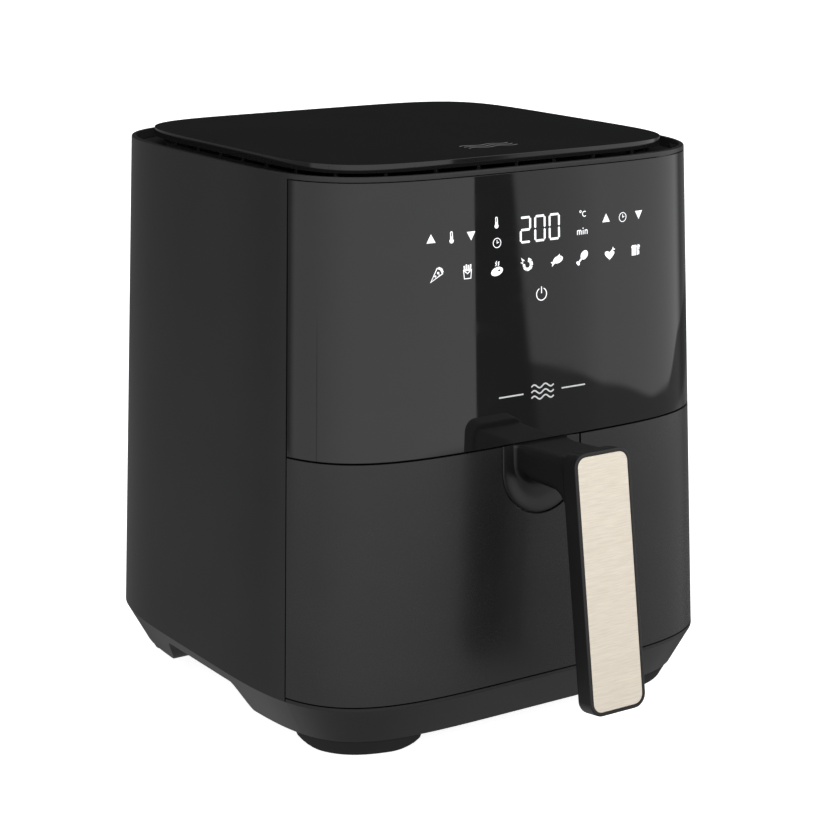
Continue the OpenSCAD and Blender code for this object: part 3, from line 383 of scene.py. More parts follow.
def makeFoot(name, node, middle):
    half, flat = foot["halfAngle"], foot["halfAngle"] * foot["flat"]
    across = spread(-half * 0.985, half * 0.985, 26)
    outer = base["chamferIn"] + foot["in"]
    top = body["lip"] - 0.05 * mm

    def place(turn, k):
        u = max(0.0, (abs(turn) - flat) / (half - flat))
        z = top * (1 - math.sqrt(1 - u * u))
        under = outer + foot["draft"] * (1 - z / top)
        inset, height = [(outer + foot["width"] - foot["draft"] / 2, z), (outer + foot["width"], top),
                         (outer, top), (under, z)][k % 4]
        point = bodyPoint(middle + turn, body["crease"], inset)
        return Vector((point.x, point.y, height))
    piece = gridPiece(name, across, [0, 1, 2, 3, 4], place)
    mergeDoubles(piece)
    editEdges(piece, lambda a, b: False)
    bpy.ops.mesh.select_non_manifold()
    bpy.ops.mesh.edge_face_add()
    leaveEdit()
    mergeDoubles(piece)
    roundEdges(piece, foot["edgeRound"], 3, 40)
    smooth(piece, 40)
    tidyOff(piece, "housing", "foot_rubber", node)


# gloss panel
panelFit = {"below": 0.1 * mm, "above": 0.15 * mm, "edgeRound": 0.3 * mm}


def frontSheet(name, low, high, thickness, step=0.8, rows=12):
    across = spread(leftSeam + gapAngle, rightSeam - gapAngle, round((rightSeam - leftSeam) / step))
    sheet = gridPiece(name, across, spread(low, high, rows), bodyPoint)
    faceAway(sheet, inside)
    modify(sheet, "SOLIDIFY", thickness=thickness, offset=-1, use_even_offset=True)
    return sheet


def makePanel():
    low, high = panelLow.z + panelFit["below"], panelHigh.z - panelFit["above"]
    panel = frontSheet("panel", low, high, body["wall"])
    roundEdges(panel, panelFit["edgeRound"], 3, 50)
    smooth(panel, 40)
    tidyOff(panel, "housing", "gloss_black", "control_panel")


# drawer front with the pocket round the handle
drawerFit = {
    "trim": 0.15 * mm, "wall": 3 * mm, "edgeRound": 0.45 * mm, "rows": 60, "seam": drawerHigh.z + 0.3 * mm,
}
pocket = {
    "radius": 25 * mm, "bottom": drawerFit["seam"] - 38.6 * mm, "gap": 0.55 * mm, "wall": 1.2 * mm,
    "lip": 1.1 * mm, "lipDeep": 1.0 * mm, "deep": 0.9 * mm, "sink": 0.1 * mm, "bend": 9 * mm,
}
pocket["middle"] = pocket["bottom"] + pocket["radius"]


def uShape(radius, depth, up=0.06):
    # a round bar whose upper half is drawn up
    bpy.ops.mesh.primitive_cylinder_add(vertices=128, radius=radius, depth=depth, rotation=(math.pi / 2, 0, 0),
                                        location=(0, shieldLow.y, pocket["middle"]))
    bar = bpy.context.object
    settle(bar)
    pickOut(bar)
    for point in bar.data.vertices:
        if point.co.z > pocket["middle"] + 1e-4:
            point.co.z += up
    return bar


def makeDrawerFront():
    low, high = drawerLow.z + drawerFit["trim"], drawerHigh.z - drawerFit["trim"]
    front = frontSheet("drawerShell", low, high, drawerFit["wall"], rows=drawerFit["rows"])
    cutWith(front, uShape(pocket["radius"], 0.08))
    roundEdges(front, drawerFit["edgeRound"], 3, 50)
    smooth(front, 40)
    tidyOff(front, "drawer", "drawer_plastic", "drawer_front")


def makePocket():
    # dished wall inside the U, with a rounded lip next to the seam
    r, middle, top = pocket["radius"] - pocket["gap"], pocket["middle"], drawerHigh.z
    straight = top - middle
    arc = math.pi * r
    total = arc + 2 * straight

    def place(s, u):
        d = s * total
        if d < straight:
            x, z, cx, cz = -r, top - d, 0, top - d
        elif d < straight + arc:
            t = (d - straight) / r
            x, z, cx, cz = -r * math.cos(t), middle - r * math.sin(t), 0, middle
        else:
            z = middle + d - straight - arc
            x, cx, cz = r, 0, z
        x, z = x + (cx - x) * u, z + (cz - z) * u
        inward = u * r
        edge = max(0.0, 1 - inward / pocket["lip"])
        deep = pocket["sink"] + pocket["lipDeep"] * (1 - math.sqrt(1 - edge * edge))
        deep += (pocket["deep"] - pocket["sink"]) * ease(inward, pocket["lip"], pocket["bend"])
        return Vector((x, frontY(x, z) + deep, z))
    # close rings round the lip, wider ones towards the middle
    rings = [0, 0.003, 0.008, 0.015, 0.023, 0.033, 0.045, 0.06, 0.08, 0.1, 0.13, 0.16, 0.2, 0.25, 0.3,
             0.36, 0.44, 0.6, 0.8, 1]
    piece = gridPiece("pocketWall", spread(0, 1, 96), rings, place)
    mergeDoubles(piece)
    faceAway(piece, inside)
    modify(piece, "SOLIDIFY", thickness=pocket["wall"], offset=-1, use_even_offset=False)
    smooth(piece, 60)
    tidyOff(piece, "drawer", "black_plastic", "handle_shield")


# handle: an arm that bends down into a tilted grip
grip = {
    "length": 131.9 * mm, "width": 34.4 * mm, "thick": 12 * mm, "corner": 7 * mm, "tilt": 8.0,
    "topZ": drawerFit["seam"] + 5.6 * mm, "frontRound": 0.6 * mm, "backRound": 2.6 * mm,
    "rim": 1.7 * mm, "inlayDeep": 1.2 * mm, "inlayGap": 0.12 * mm, "inlayRound": 0.4 * mm, "reach": 49 * mm,
}
grip["faceY"] = middleY - halves(drawerFit["seam"])[1] - grip["reach"]
arm = {
    "half": 16 * mm, "corner": 4.5 * mm, "thinZ": drawerFit["seam"] - 17.2 * mm, "bend": 14 * mm,
    "flare": 8.5 * mm, "flareOut": 13 * mm, "rootRound": 15.5 * mm, "fillet": 2.2 * mm,
}


def inGrip(x, y, z):
    # from the grip's own axes (x across, y behind the face, z up from its middle) to the scene
    turn = Matrix.Rotation(-math.radians(grip["tilt"]), 3, "X")
    return turn @ Vector((x, y, z - grip["length"] / 2)) + Vector((0, grip["faceY"], grip["topZ"]))


def gripBack(z):
    tilt = math.radians(grip["tilt"])
    return grip["faceY"] + grip["thick"] / math.cos(tilt) - (grip["topZ"] - z) * math.tan(tilt)


def makeSlab(name, width, length, thick, corner, segments=10):
    # upright slab with round corners, its face at y = 0
    bpy.ops.mesh.primitive_cube_add(size=1, location=(0, thick / 2, 0))
    slab = bpy.context.object
    slab.name = name
    slab.scale = (width, thick, length)
    settle(slab)
    editEdges(slab, lambda a, b: abs(a.y - b.y) > thick / 2)
    bpy.ops.mesh.bevel(offset=corner, segments=segments, affect="EDGES")
    leaveEdit()
    return slab


def placeInGrip(piece):
    for point in piece.data.vertices:
        point.co = inGrip(*point.co)


def makeHandle():
    thick = grip["thick"]
    slab = makeSlab("handleBody", grip["width"], grip["length"], thick, grip["corner"])
    # sink the bed of the inlay
    editFaces(slab, lambda centre, normal: normal.y < -0.9)
    bpy.ops.mesh.inset(thickness=grip["rim"], depth=0)
    bpy.ops.mesh.extrude_region_move(TRANSFORM_OT_translate={"value": (0, grip["inlayDeep"], 0)})
    leaveEdit()
    outline = grip["width"] / 2, grip["length"] / 2

    def onRim(point, y):
        dx = outline[0] - abs(point.x)
        dz = outline[1] - abs(point.z)
        corner = grip["corner"]
        if dx < corner and dz < corner:
            reach = math.hypot(corner - dx, corner - dz)
            return abs(point.y - y) < 1e-5 and reach > corner - 0.3 * mm
        return abs(point.y - y) < 1e-5 and min(dx, dz) < 0.3 * mm
    editEdges(slab, lambda a, b: onRim(a, 0) and onRim(b, 0))
    bpy.ops.mesh.bevel(offset=grip["frontRound"], segments=4, affect="EDGES")
    leaveEdit()
    editEdges(slab, lambda a, b: onRim(a, thick) and onRim(b, thick))
    bpy.ops.mesh.bevel(offset=grip["backRound"], segments=6, affect="EDGES")
    leaveEdit()
    placeInGrip(slab)

    rootY = middleY - halves(drawerHigh.z)[1] + pocket["deep"] + 0.6 * mm
    flareY = rootY - arm["flareOut"]
    bendZ = arm["thinZ"] - arm["bend"]
    bendY = gripBack(bendZ) + arm["bend"]
    run = []
    for i in range(15):
        u = (i / 14) ** 1.5
        low = arm["thinZ"] - arm["flare"] * (1 - u) ** 2.2
        run.append((rootY + (flareY - rootY) * u, low, (1 - u) ** 1.5))
    for i in range(1, 14):
        t = math.radians(84 * i / 13)
        low = arm["thinZ"] - arm["bend"] * (1 - math.cos(t))
        run.append((bendY - arm["bend"] * math.sin(t), low, 0))
    run.append((gripBack(bendZ) - thick / 3, bendZ - 5 * mm, 0))

    def place(corner, i):
        y, low, root = run[i]
        u = min(1.0, (y - rootY) / (gripBack(bendZ) - rootY))
        high = drawerHigh.z - 0.1 * mm + 3 * mm * u * u
        fillet = arm["fillet"] * max(0.0, 1 - (rootY - y) / (3.2 * mm)) ** 2
        half = arm["half"] + fillet
        low -= fillet
        bottom = arm["corner"] + (arm["rootRound"] - arm["corner"]) * root
        topRound = arm["corner"] * (1 - 0.75 * root)
        x, z = roundedPoint(half, low, high, topRound, bottom, corner)
        return Vector((x, y, z))
    stem = gridPiece("stem", corners(9), list(range(len(run))), place)
    mergeDoubles(stem)
    editEdges(stem, lambda a, b: False)
    bpy.ops.mesh.select_non_manifold()
    bpy.ops.mesh.edge_face_add()
    leaveEdit()
    fillRim(stem, lambda a, b: abs(a.y - rootY) < 1e-6 and abs(b.y - rootY) < 1e-6)
    mergeDoubles(stem)
    cutWith(slab, stem, "UNION")
    smooth(slab, 32)
    tidyOff(slab, "drawer", "black_plastic", "handle")


def makeInlay():
    edge = grip["rim"] + grip["inlayGap"]
    width, length = grip["width"] - 2 * edge, grip["length"] - 2 * edge
    plate = makeSlab("handleInlay", width, length, grip["inlayDeep"] - 0.15 * mm, grip["corner"] - edge)
    editEdges(plate, lambda a, b: a.y < 1e-6 and b.y < 1e-6)
    bpy.ops.mesh.bevel(offset=grip["inlayRound"], segments=3, affect="EDGES")
    leaveEdit()
    for point in plate.data.vertices:
        point.co.y += grip["inlayGap"]
    placeInGrip(plate)
    smooth(plate, 32)
    tidyOff(plate, "drawer", "inlay_metal", "handle_inlay")


# lid
lid = {"squareness": 5.44, "edgeRound": 0.3 * mm, "sides": 240, "thicker": 0.4 * mm}


def makeLid():
    middle = (lidLow + lidHigh) / 2
    half = (lidHigh - lidLow) / 2
    bpy.ops.mesh.primitive_circle_add(vertices=lid["sides"], radius=0.1, fill_type="NGON", location=(0, 0, 0))
    piece = bpy.context.object
    piece.name = "lidPlate"
    for point in piece.data.vertices:
        turn = math.degrees(math.atan2(point.co.y, point.co.x))
        x, y = outlinePoint(half.x, half.y, lid["squareness"], turn)
        point.co = (x, y + middle.y, lidLow.z - lid["thicker"])
    editFaces(piece, lambda centre, normal: True)
    thick = lidHigh.z - lidLow.z + lid["thicker"]
    bpy.ops.mesh.extrude_region_move(TRANSFORM_OT_translate={"value": (0, 0, thick)})
    bpy.ops.mesh.select_all(action="SELECT")
    bpy.ops.mesh.normals_make_consistent(inside=False)
    leaveEdit()
    roundEdges(piece, lid["edgeRound"], 4, 50)
    smooth(piece, 40)
    tidyOff(piece, "housing", "gloss_black", "lid")
    return piece


# pan
pan = {"wall": 1.5 * mm, "corner": 38 * mm, "bend": 9 * mm, "flange": 5 * mm, "edgeRound": 0.5 * mm}


def makePan():
    low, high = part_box("pan")
    middle, half = (low + high) / 2, (high - low) / 2
    profile = []
    for i in range(7):
        turn = math.radians(15 * i)
        profile.append((pan["bend"] * (1 - math.sin(turn)), low.z + pan["bend"] * (1 - math.cos(turn))))
    profile += [(0, high.z - pan["wall"]), (-pan["flange"], high.z - pan["wall"])]

    def place(corner, i):
        inset, z = profile[i]
        away, r = pan["flange"] + inset, pan["corner"] - inset
        x, y = roundedPoint(half.x - away, away - half.y, half.y - away, r, r, corner)
        return Vector((x, y + middle.y, z))
    piece = gridPiece("panBowl", corners(14), list(range(len(profile))), place)
    mergeDoubles(piece)
    fillRim(piece, lambda a, b: max(a.z, b.z) < low.z + 1e-6)
    mergeDoubles(piece)
    faceAway(piece, Vector((0, middle.y, low.z + 0.04)))
    modify(piece, "SOLIDIFY", thickness=pan["wall"], offset=-1, use_even_offset=True)
    roundEdges(piece, pan["edgeRound"], 2, 50)
    smooth(piece, 40)
    tidyOff(piece, "drawer", "pan_coating", "pan")


# symbols on the panel, drawn in mm; a symbol is a list of layers, and a layer a list of closed loops
def disc(x, y, rx, ry=None, turn=0, steps=36):
    ry = rx if ry is None else ry
    c, s = math.cos(math.radians(turn)), math.sin(math.radians(turn))
    turns = [2 * math.pi * i / steps for i in range(steps)]
    around = [(rx * math.cos(t), ry * math.sin(t)) for t in turns]
    return [[(x + u * c - v * s, y + u * s + v * c) for u, v in around]]


def arcBand(x, y, r, width, start=0, end=360, steps=40):
    turns = [math.radians(start + (end - start) * i / steps) for i in range(steps + 1)]
    outer = [(x + (r + width / 2) * math.cos(t), y + (r + width / 2) * math.sin(t)) for t in turns]
    inner = [(x + (r - width / 2) * math.cos(t), y + (r - width / 2) * math.sin(t)) for t in turns]
    if end - start >= 360:
        return [outer[:-1], inner[:-1]]
    return [outer + inner[::-1]]


def offsetLine(points, away, closed):
    moved, n = [], len(points)
    for i, (x, y) in enumerate(points):
        before = points[(i - 1) % n] if closed or i > 0 else None
        after = points[(i + 1) % n] if closed or i < n - 1 else None
        a = Vector((x - before[0], y - before[1])).normalized() if before else None
        b = Vector((after[0] - x, after[1] - y)).normalized() if after else None
        a, b = a or b, b or a
        side = Vector((-a.y - b.y, a.x + b.x)).normalized()
        stretch = min(2.0, 1 / max(0.3, side.dot(Vector((-b.y, b.x)))))
        moved.append((x + side.x * away * stretch, y + side.y * away * stretch))
    return moved


def stroke(points, width):
    return [offsetLine(points, width / 2, False) + offsetLine(points, -width / 2, False)[::-1]]


def outlined(points, width):
    return [offsetLine(points, width / 2, True), offsetLine(points, -width / 2, True)]


def triangle(up):
    return [[[(-2.45, -2.05 * up), (2.45, -2.05 * up), (0, 2.25 * up)]]]


def thermometer(size=1.0):
    def around(r, y, turns):
        return [(r * math.cos(math.radians(t)), y + r * math.sin(math.radians(t))) for t in turns]
    outer = around(1.75, -2.7, range(-233, 54, 12)) + around(1.05, 3.2, range(0, 181, 15))
    hole = around(0.42, 3.1, range(0, 181, 30)) + [(-0.42, 0.4), (0.42, 0.4)]
    return [[[(x * size, y * size) for x, y in loop] for loop in (outer, hole)]]


def clock(r=2.3):
    return [arcBand(0, 0, r, 0.36), stroke([(0, r * 0.62), (0, -0.1), (r * 0.5, 0.35)], 0.36)]


def segment(x, y, length, upright):
    h, t, cut = length / 2, 0.56, 0.4
    bar = [(-h, 0), (-h + cut, t), (h - cut, t), (h, 0), (h - cut, -t), (-h + cut, -t)]
    return [[(x + (v if upright else u), y + (u if upright else v)) for u, v in bar]]


def digit(lit):
    places = {"a": (0, 6.1, 0), "b": (2.9, 3.05, 1), "c": (2.9, -3.05, 1), "d": (0, -6.1, 0),
              "e": (-2.9, -3.05, 1), "f": (-2.9, 3.05, 1), "g": (0, 0, 0)}
    return [segment(x, y, 5.5, up) for name, (x, y, up) in places.items() if name in lit]


def waves(count, width, height, gap, line):
    wave = [(width * (j / 24 - 0.5), height * math.sin(2 * math.pi * j / 12)) for j in range(25)]
    rows = [(i - (count - 1) / 2) * gap for i in range(count)]
    return [stroke([(x, y + row) for x, y in wave], line) for row in rows]


def shifted(layers, dx, dy, size=1.0):
    return [[[(x * size + dx, y * size + dy) for x, y in loop] for loop in layer] for layer in layers]


def turnipLoop(steps=40):
    turns = [2 * math.pi * i / steps for i in range(steps)]
    return [(-3.0 * (math.sin(t) ** 3) * 1.05,
             2.2 * math.cos(t) - 0.85 * math.cos(2 * t) - 0.3 * math.cos(3 * t) - 0.4) for t in turns]


def shrimpRing(i):
    # one ring of the curled tail, each a little thinner than the last
    return arcBand(0.2, -0.3, 2.5 - 0.08 * i, 2.0 - 0.12 * i, 40 - 47 * i, 80 - 47 * i, 8)


dishes = {
    "pizza": [
        outlined([(-3.3, -3.3), (3.3, 0.4), (2.3, 2.4), (0.4, 3.3)], 0.5),
        stroke([(3.5, 1.0), (2.8, 2.7), (1.1, 3.5)], 0.9),
        disc(0.9, 0.9, 0.62), disc(-0.7, -0.6, 0.5), disc(1.5, -0.2, 0.35)],
    "fries": [
        outlined([(-2.3, 0.9), (-1.9, -3.4), (1.9, -3.4), (2.3, 0.9)], 0.4),
        stroke([(-2.4, 0.9), (0, -1.0), (2.4, 0.9)], 0.45),
        stroke([(-1.7, 1.0), (-1.9, 3.0)], 0.8), stroke([(-0.6, 0.3), (-0.6, 3.6)], 0.8),
        stroke([(0.6, 0.3), (0.6, 3.2)], 0.8), stroke([(1.7, 1.0), (1.9, 3.5)], 0.8)],
    "steak": [
        disc(0, -1.7, 3.6, 2.1, 14) + disc(1.3, -1.3, 0.9, 0.45, 14),
        stroke([(-0.9, 1.0), (-0.3, 1.9), (-0.8, 2.4), (-0.1, 3.4)], 0.45),
        stroke([(0.6, 1.0), (1.2, 1.9), (0.7, 2.4), (1.4, 3.1)], 0.45)],
    "shrimp": [
        *[shrimpRing(i) for i in range(6)],
        [[(-1.4, 2.0), (-3.6, 3.5), (-2.9, 1.5)]],
        [[(-2.3, 1.2), (-4.1, 1.2), (-2.7, 0.3)]], disc(1.9, 1.9, 0.45)],
    "fish": [
        disc(0.6, 0.4, 3.1, 1.8, 14) + disc(2.3, 1.1, 0.35),
        [[(-1.9, -0.2), (-4.0, -0.6), (-3.0, -1.5), (-3.2, -3.0), (-1.4, -1.3)]],
        [[(0.2, 2.0), (1.6, 3.2), (1.9, 2.2)]]],
    "drumstick": [
        disc(1.1, 1.1, 2.6, 2.0, 45), stroke([(-0.4, -0.4), (-2.6, -2.6)], 0.9),
        disc(-3.2, -2.5, 0.75), disc(-2.5, -3.2, 0.75)],
    "turnip": [
        [turnipLoop()], stroke([(1.0, 1.2), (2.2, 2.2), (2.3, 3.2)], 0.6),
        stroke([(2.0, 2.0), (3.5, 2.1)], 0.6)],
    "toast": [
        [[(-2.6, -2.6), (0.4, -2.6), (0.4, 1.0), (0.9, 1.9), (0.5, 2.7), (-2.4, 2.7), (-3.0, 1.9),
          (-2.6, 1.0)]],
        [[(0.9, -2.6), (2.6, -2.2), (2.6, -0.4), (1.6, -0.4), (1.6, 0.1), (2.6, 0.1), (2.6, 1.1), (3.1, 1.9),
          (2.6, 2.7), (1.2, 2.7), (1.5, 1.9), (0.9, 1.0)]]],
}

# each symbol with its x and height in mm
touchRow, dishRow = 265.6, 247.8
dishPlaces = (-61.8, -44.2, -26.7, -8.4, 10.2, 26.3, 43.8, 61.4)
symbols = [
    (triangle(1), -64.5, touchRow), (thermometer(0.68), -53.1, touchRow - 0.1),
    (triangle(-1), -41.8, touchRow - 0.4),
    (thermometer(0.66), -26.7, 270.3), (clock(), -26.5, 260.2),
    (digit("abged"), -9.2, 265.1), (digit("abcdef"), -0.3, 265.1), (digit("abcdef"), 8.6, 265.1),
    ([arcBand(-1.6, 1.2, 0.5, 0.35), arcBand(0.9, -0.1, 1.25, 0.45, 50, 310)], 26.7, 269.8),
    ([stroke([(-3.6, -1.2), (-3.6, 1.0)], 0.45),
      stroke([(-3.6, 0.9), (-2.6, 1.0), (-2.4, 0.6), (-2.4, -1.2)], 0.45),
      stroke([(-2.4, 0.7), (-1.6, 1.0), (-1.2, 0.6), (-1.2, -1.2)], 0.45), stroke([(0, -1.2), (0, 1.0)], 0.45),
      disc(0, 1.9, 0.32), stroke([(1.2, -1.2), (1.2, 1.0)], 0.45),
      stroke([(1.2, 0.7), (2.2, 1.0), (2.6, 0.6), (2.6, -1.2)], 0.45)], 26.7, 260.6),
    (triangle(1), 41.5, touchRow + 0.7), (clock(), 52.5, touchRow + 0.1), (triangle(-1), 63.5, touchRow + 0.3),
    *[(dish, x, dishRow) for dish, x in zip(dishes.values(), dishPlaces)],
    ([arcBand(0, -0.2, 3.1, 0.48, 116, 424), stroke([(0, 0.2), (0, 3.6)], 0.5)], 0.4, 232.1),
]
emblem = {"x": 0.6, "z": 182.3, "line": 0.75, "strokeLength": 15.0, "strokeAt": 19.5}


def printed(name, layers, place):
    # flat curves filled between their loops, laid on the surface as a thin print
    made = []
    for layer in layers:
        curve = bpy.data.curves.new(name, "CURVE")
        curve.dimensions, curve.fill_mode, curve.extrude = "2D", "BOTH", 0.06 * mm
        for loop in layer:
            spline = curve.splines.new("POLY")
            spline.points.add(len(loop) - 1)
            for point, (x, y) in zip(spline.points, loop):
                point.co = (x * mm, y * mm, 0, 1)
            spline.use_cyclic_u = True
        one = bpy.data.objects.new(name, curve)
        bpy.context.collection.objects.link(one)
        made.append(one)
    pickOut(*made)
    bpy.ops.object.convert(target="MESH")
    bpy.ops.object.join()
    piece = bpy.context.object
    piece.name = name
    mergeDoubles(piece, 1e-7)
    for point in piece.data.vertices:
        point.co = place(point.co)
    return piece


def onPanel(co):
    x, z = co.x, co.y
    return Vector((x, frontY(x, z) - 0.03 * mm - co.z, z))


def makePrints():
    layers = [layer for shape, x, z in symbols for layer in shifted(shape, x, z)]
    lit = printed("panelSymbols", layers, onPanel)
    tidyOff(lit, "housing", "gloss_black")
    line, far, half = emblem["line"], emblem["strokeAt"], emblem["strokeLength"] / 2
    layers = waves(3, 14, 0.9, 2.9, line)
    layers += [stroke([(s * (far - half), 0), (s * (far + half), 0)], line) for s in (-1, 1)]
    mark = printed("panelEmblem", shifted(layers, emblem["x"], emblem["z"]), onPanel)
    tidyOff(mark, "housing", "gloss_black")
    top = lidHigh.z
    small = printed("lidEmblem", waves(3, 30, 1.3, 4.2, 0.6),
                    lambda co: Vector((co.x + 1.5 * mm, co.y + middleY - 77 * mm, top + co.z - 0.02 * mm)))
    tidyOff(small, "housing", "gloss_black")
    return lit, mark, small


# materials
class Wire:
    # a shader socket that sums and products can be written with
    def __init__(self, tree, socket):
        self.tree, self.socket = tree, socket

    def sum(self, operation, first, second=0.0):
        node = self.tree.nodes.new("ShaderNodeMath")
        node.operation = operation
        for i, part in enumerate((first, second)):
            if isinstance(part, Wire):
                self.tree.links.new(part.socket, node.inputs[i])
            else:
                node.inputs[i].default_value = part
        return Wire(self.tree, node.outputs[0])

    def __add__(self, other):
        return self.sum("ADD", self, other)

    def __sub__(self, other):
        return self.sum("SUBTRACT", self, other)

    def __rsub__(self, other):
        return self.sum("SUBTRACT", other, self)

    def __mul__(self, other):
        return self.sum("MULTIPLY", self, other)

    __radd__, __rmul__ = __add__, __mul__


class Finish:
    # the node tree of one finish
    def __init__(self, name, tree=None):
        if tree is None:
            self.material = bpy.data.materials.new(name)
            self.material.use_nodes = True
            tree = self.material.node_tree
        self.tree = tree
        tree.nodes.clear()

    def node(self, kind, inputs=None, output=0, stops=None, **settings):
        node = self.tree.nodes.new("ShaderNode" + kind)
        for name, value in settings.items():
            setattr(node, name, value)
        if stops:
            ramp = node.color_ramp
            while len(ramp.elements) < len(stops):
                ramp.elements.new(0.5)
            for element, (position, colour) in zip(ramp.elements, stops):
                element.position, element.color = position, colour
        for name, value in (inputs or {}).items():
            if isinstance(value, Wire):
                self.tree.links.new(value.socket, node.inputs[name])
            else:
                node.inputs[name].default_value = value
        return Wire(self.tree, node.outputs[output]) if len(node.outputs) else None

    def place(self, stretch=(1, 1, 1), turn=(0, 0, 0)):
        where = self.node("TexCoord", output="Object")
        return self.node("Mapping", {"Vector": where, "Scale": stretch, "Rotation": turn})

    def noise(self, scale, detail=2.0, rough=0.5, stretch=(1, 1, 1), distortion=0.0):
        return self.node("TexNoise", {"Vector": self.place(stretch), "Scale": scale, "Detail": detail,
                                      "Roughness": rough, "Distortion": distortion}, output="Fac")

    def blend(self, first, second, factor):
        return self.node("Mix", {0: factor, 6: first, 7: second}, output=2, data_type="RGBA")

    def step(self, value, low, high, start=0.0, end=1.0):
        ends = {"Value": value, "From Min": low, "From Max": high, "To Min": start, "To Max": end}
        return self.node("MapRange", ends, interpolation_type="SMOOTHSTEP")

    def bump(self, height, strength, distance):
        settings = {"Height": height, "Strength": strength, "Distance": distance}
        return self.node("Bump", settings, output="Normal")

    def surface(self, **sockets):
        names = {name: name.replace("_", " ").title().replace("Ior", "IOR") for name in sockets}
        shader = self.node("BsdfPrincipled", {names[name]: value for name, value in sockets.items()})
        self.node("OutputMaterial", {"Surface": shader})
        return self.material


def tone(colour, share):
    return tuple(min(1.0, max(0.0, c * share)) for c in colour) + (1.0,)


def moulded(name, colour, rough, roughSpread=0.05, bump=0.12, shade=0.12, specular=0.5):
    # moulded plastic with a fine etched grain and slow changes in sheen
    f = Finish(name)
    broad = f.noise(14, 3, 0.6)
    fine = f.noise(2600, 3, 0.6)
    mask = f.step(broad + (fine - 0.5) * 0.5, 0.3, 0.7)
    return f.surface(
        base_color=f.blend(tone(colour, 1 - shade), tone(colour, 1 + shade), mask),
        roughness=rough + (broad - 0.5) * roughSpread + (fine - 0.5) * roughSpread,
        normal=f.bump(fine, bump, 0.00004), specular_ior_level=specular)


def polished(name, colour, rough, smear=0.03, wave=0.02, specular=0.5):
    # polished face with faint smears and a trace of flow lines
    f = Finish(name)
    smears = f.noise(22, 5, 0.7, (1, 1, 2.2), 0.6)
    specks = f.noise(900, 1, 0.5)
    mask = f.step(smears, 0.48, 0.75)
    return f.surface(
        base_color=f.blend(tone(colour, 0.96), tone(colour, 1.12), mask),
        roughness=rough + mask * smear + f.step(specks, 0.66, 0.74) * smear,
        normal=f.bump(f.noise(9, 1, 0.4), wave, 0.0006), specular_ior_level=specular)


def lidFace(name, colour, specular=0.5):
    # polished edge, with the flat top finely etched
    f = Finish(name)
    up = f.node("SeparateXYZ", {"Vector": f.node("NewGeometry", output="Normal")}, output="Z")
    flat = f.step(up, 0.9, 0.995)
    fine = f.noise(3800, 2, 0.5)
    slow = f.noise(12, 3, 0.6)
    polish = f.node("BsdfPrincipled", {
        "Base Color": f.blend(tone(colour, 0.9), tone(colour, 1.1), slow),
        "Roughness": 0.05 + (slow - 0.5) * 0.03, "Specular IOR Level": specular})
    etched = f.node("BsdfPrincipled", {
        "Base Color": f.blend(tone(colour, 0.8), tone(colour, 1.2), slow + (fine - 0.5) * 0.4),
        "Roughness": 0.5 + (fine - 0.5) * 0.1, "Specular IOR Level": 0.03,
        "Normal": f.bump(fine, 0.1, 0.00003)})
    f.node("OutputMaterial", {"Surface": f.node("MixShader", {0: flat, 1: polish, 2: etched})})
    return f.material


def rubbery(name, colour, rough=0.75):
    f = Finish(name)
    fine = f.noise(1700, 4, 0.7)
    dust = f.step(f.noise(60, 5, 0.7), 0.5, 0.8)
    return f.surface(base_color=f.blend(tone(colour, 0.85), tone(colour, 1.5), dust * 0.6),
                     roughness=rough + (fine - 0.5) * 0.15, normal=f.bump(fine, 0.25, 0.00006),
                     specular_ior_level=0.35)


def brushedInlay(name, colour, rough):
    # grain lines across the grip that wander a little
    f = Finish(name)
    where = f.node("TexCoord", output="Object")
    wander = f.noise(70, 2, 0.5, (1, 0.3, 1.4))
    shift = f.node("CombineXYZ", {"X": 0.0, "Y": 0.0, "Z": (wander - 0.5) * 0.0016})
    bent = f.node("VectorMath", {0: where, 1: shift}, operation="ADD")
    lines = f.node("TexNoise", {"Vector": f.node("Mapping", {"Vector": bent, "Scale": (0.06, 0.06, 1.0)}),
                                "Scale": 1700, "Detail": 4, "Roughness": 0.65}, output="Fac")
    hair = f.node("TexNoise", {"Vector": f.node("Mapping", {"Vector": bent, "Scale": (0.02, 0.02, 1.0)}),
                               "Scale": 4200, "Detail": 2, "Roughness": 0.5}, output="Fac")
    mask = f.step(lines * 0.7 + hair * 0.3, 0.34, 0.66)
    return f.surface(base_color=f.blend(tone(colour, 0.92), tone(colour, 1.05), mask), metallic=0.9,
                     roughness=rough + (0.5 - mask) * 0.12, normal=f.bump(mask, 0.14, 0.00004))


def sheetMetal(name, colour, rough, stretch=(1, 1, 14), scale=120, metallic=1.0, stain=0.12):
    # rolled sheet with fine drawn lines and faint stains
    f = Finish(name)
    lines = f.noise(scale * 6, 3, 0.6, stretch)
    stains = f.noise(26, 4, 0.65)
    mask = f.step(stains * 0.6 + lines * 0.4, 0.3, 0.7)
    return f.surface(base_color=f.blend(tone(colour, 1 - stain), tone(colour, 1 + stain * 0.6), mask),
                     metallic=metallic, roughness=rough + (stains - 0.5) * 0.16 + (lines - 0.5) * 0.1,
                     normal=f.bump(lines, 0.1, 0.00004))


def banded(name, colour, dark, scale, rough, metallic, axis="Z", bump=0.5):
    # stacked sheets or wound wire: close bands along one axis
    f = Finish(name)
    bands = f.node("TexWave", {"Vector": f.place(), "Scale": scale, "Distortion": 0.6, "Detail": 2.0},
                   output="Fac", wave_type="BANDS", bands_direction=axis)
    slow = f.noise(45, 3, 0.6)
    return f.surface(base_color=f.blend(tone(dark, 1), tone(colour, 1), bands * 0.75 + slow * 0.25),
                     metallic=metallic, roughness=rough + (slow - 0.5) * 0.15,
                     normal=f.bump(bands, bump, 0.0001))


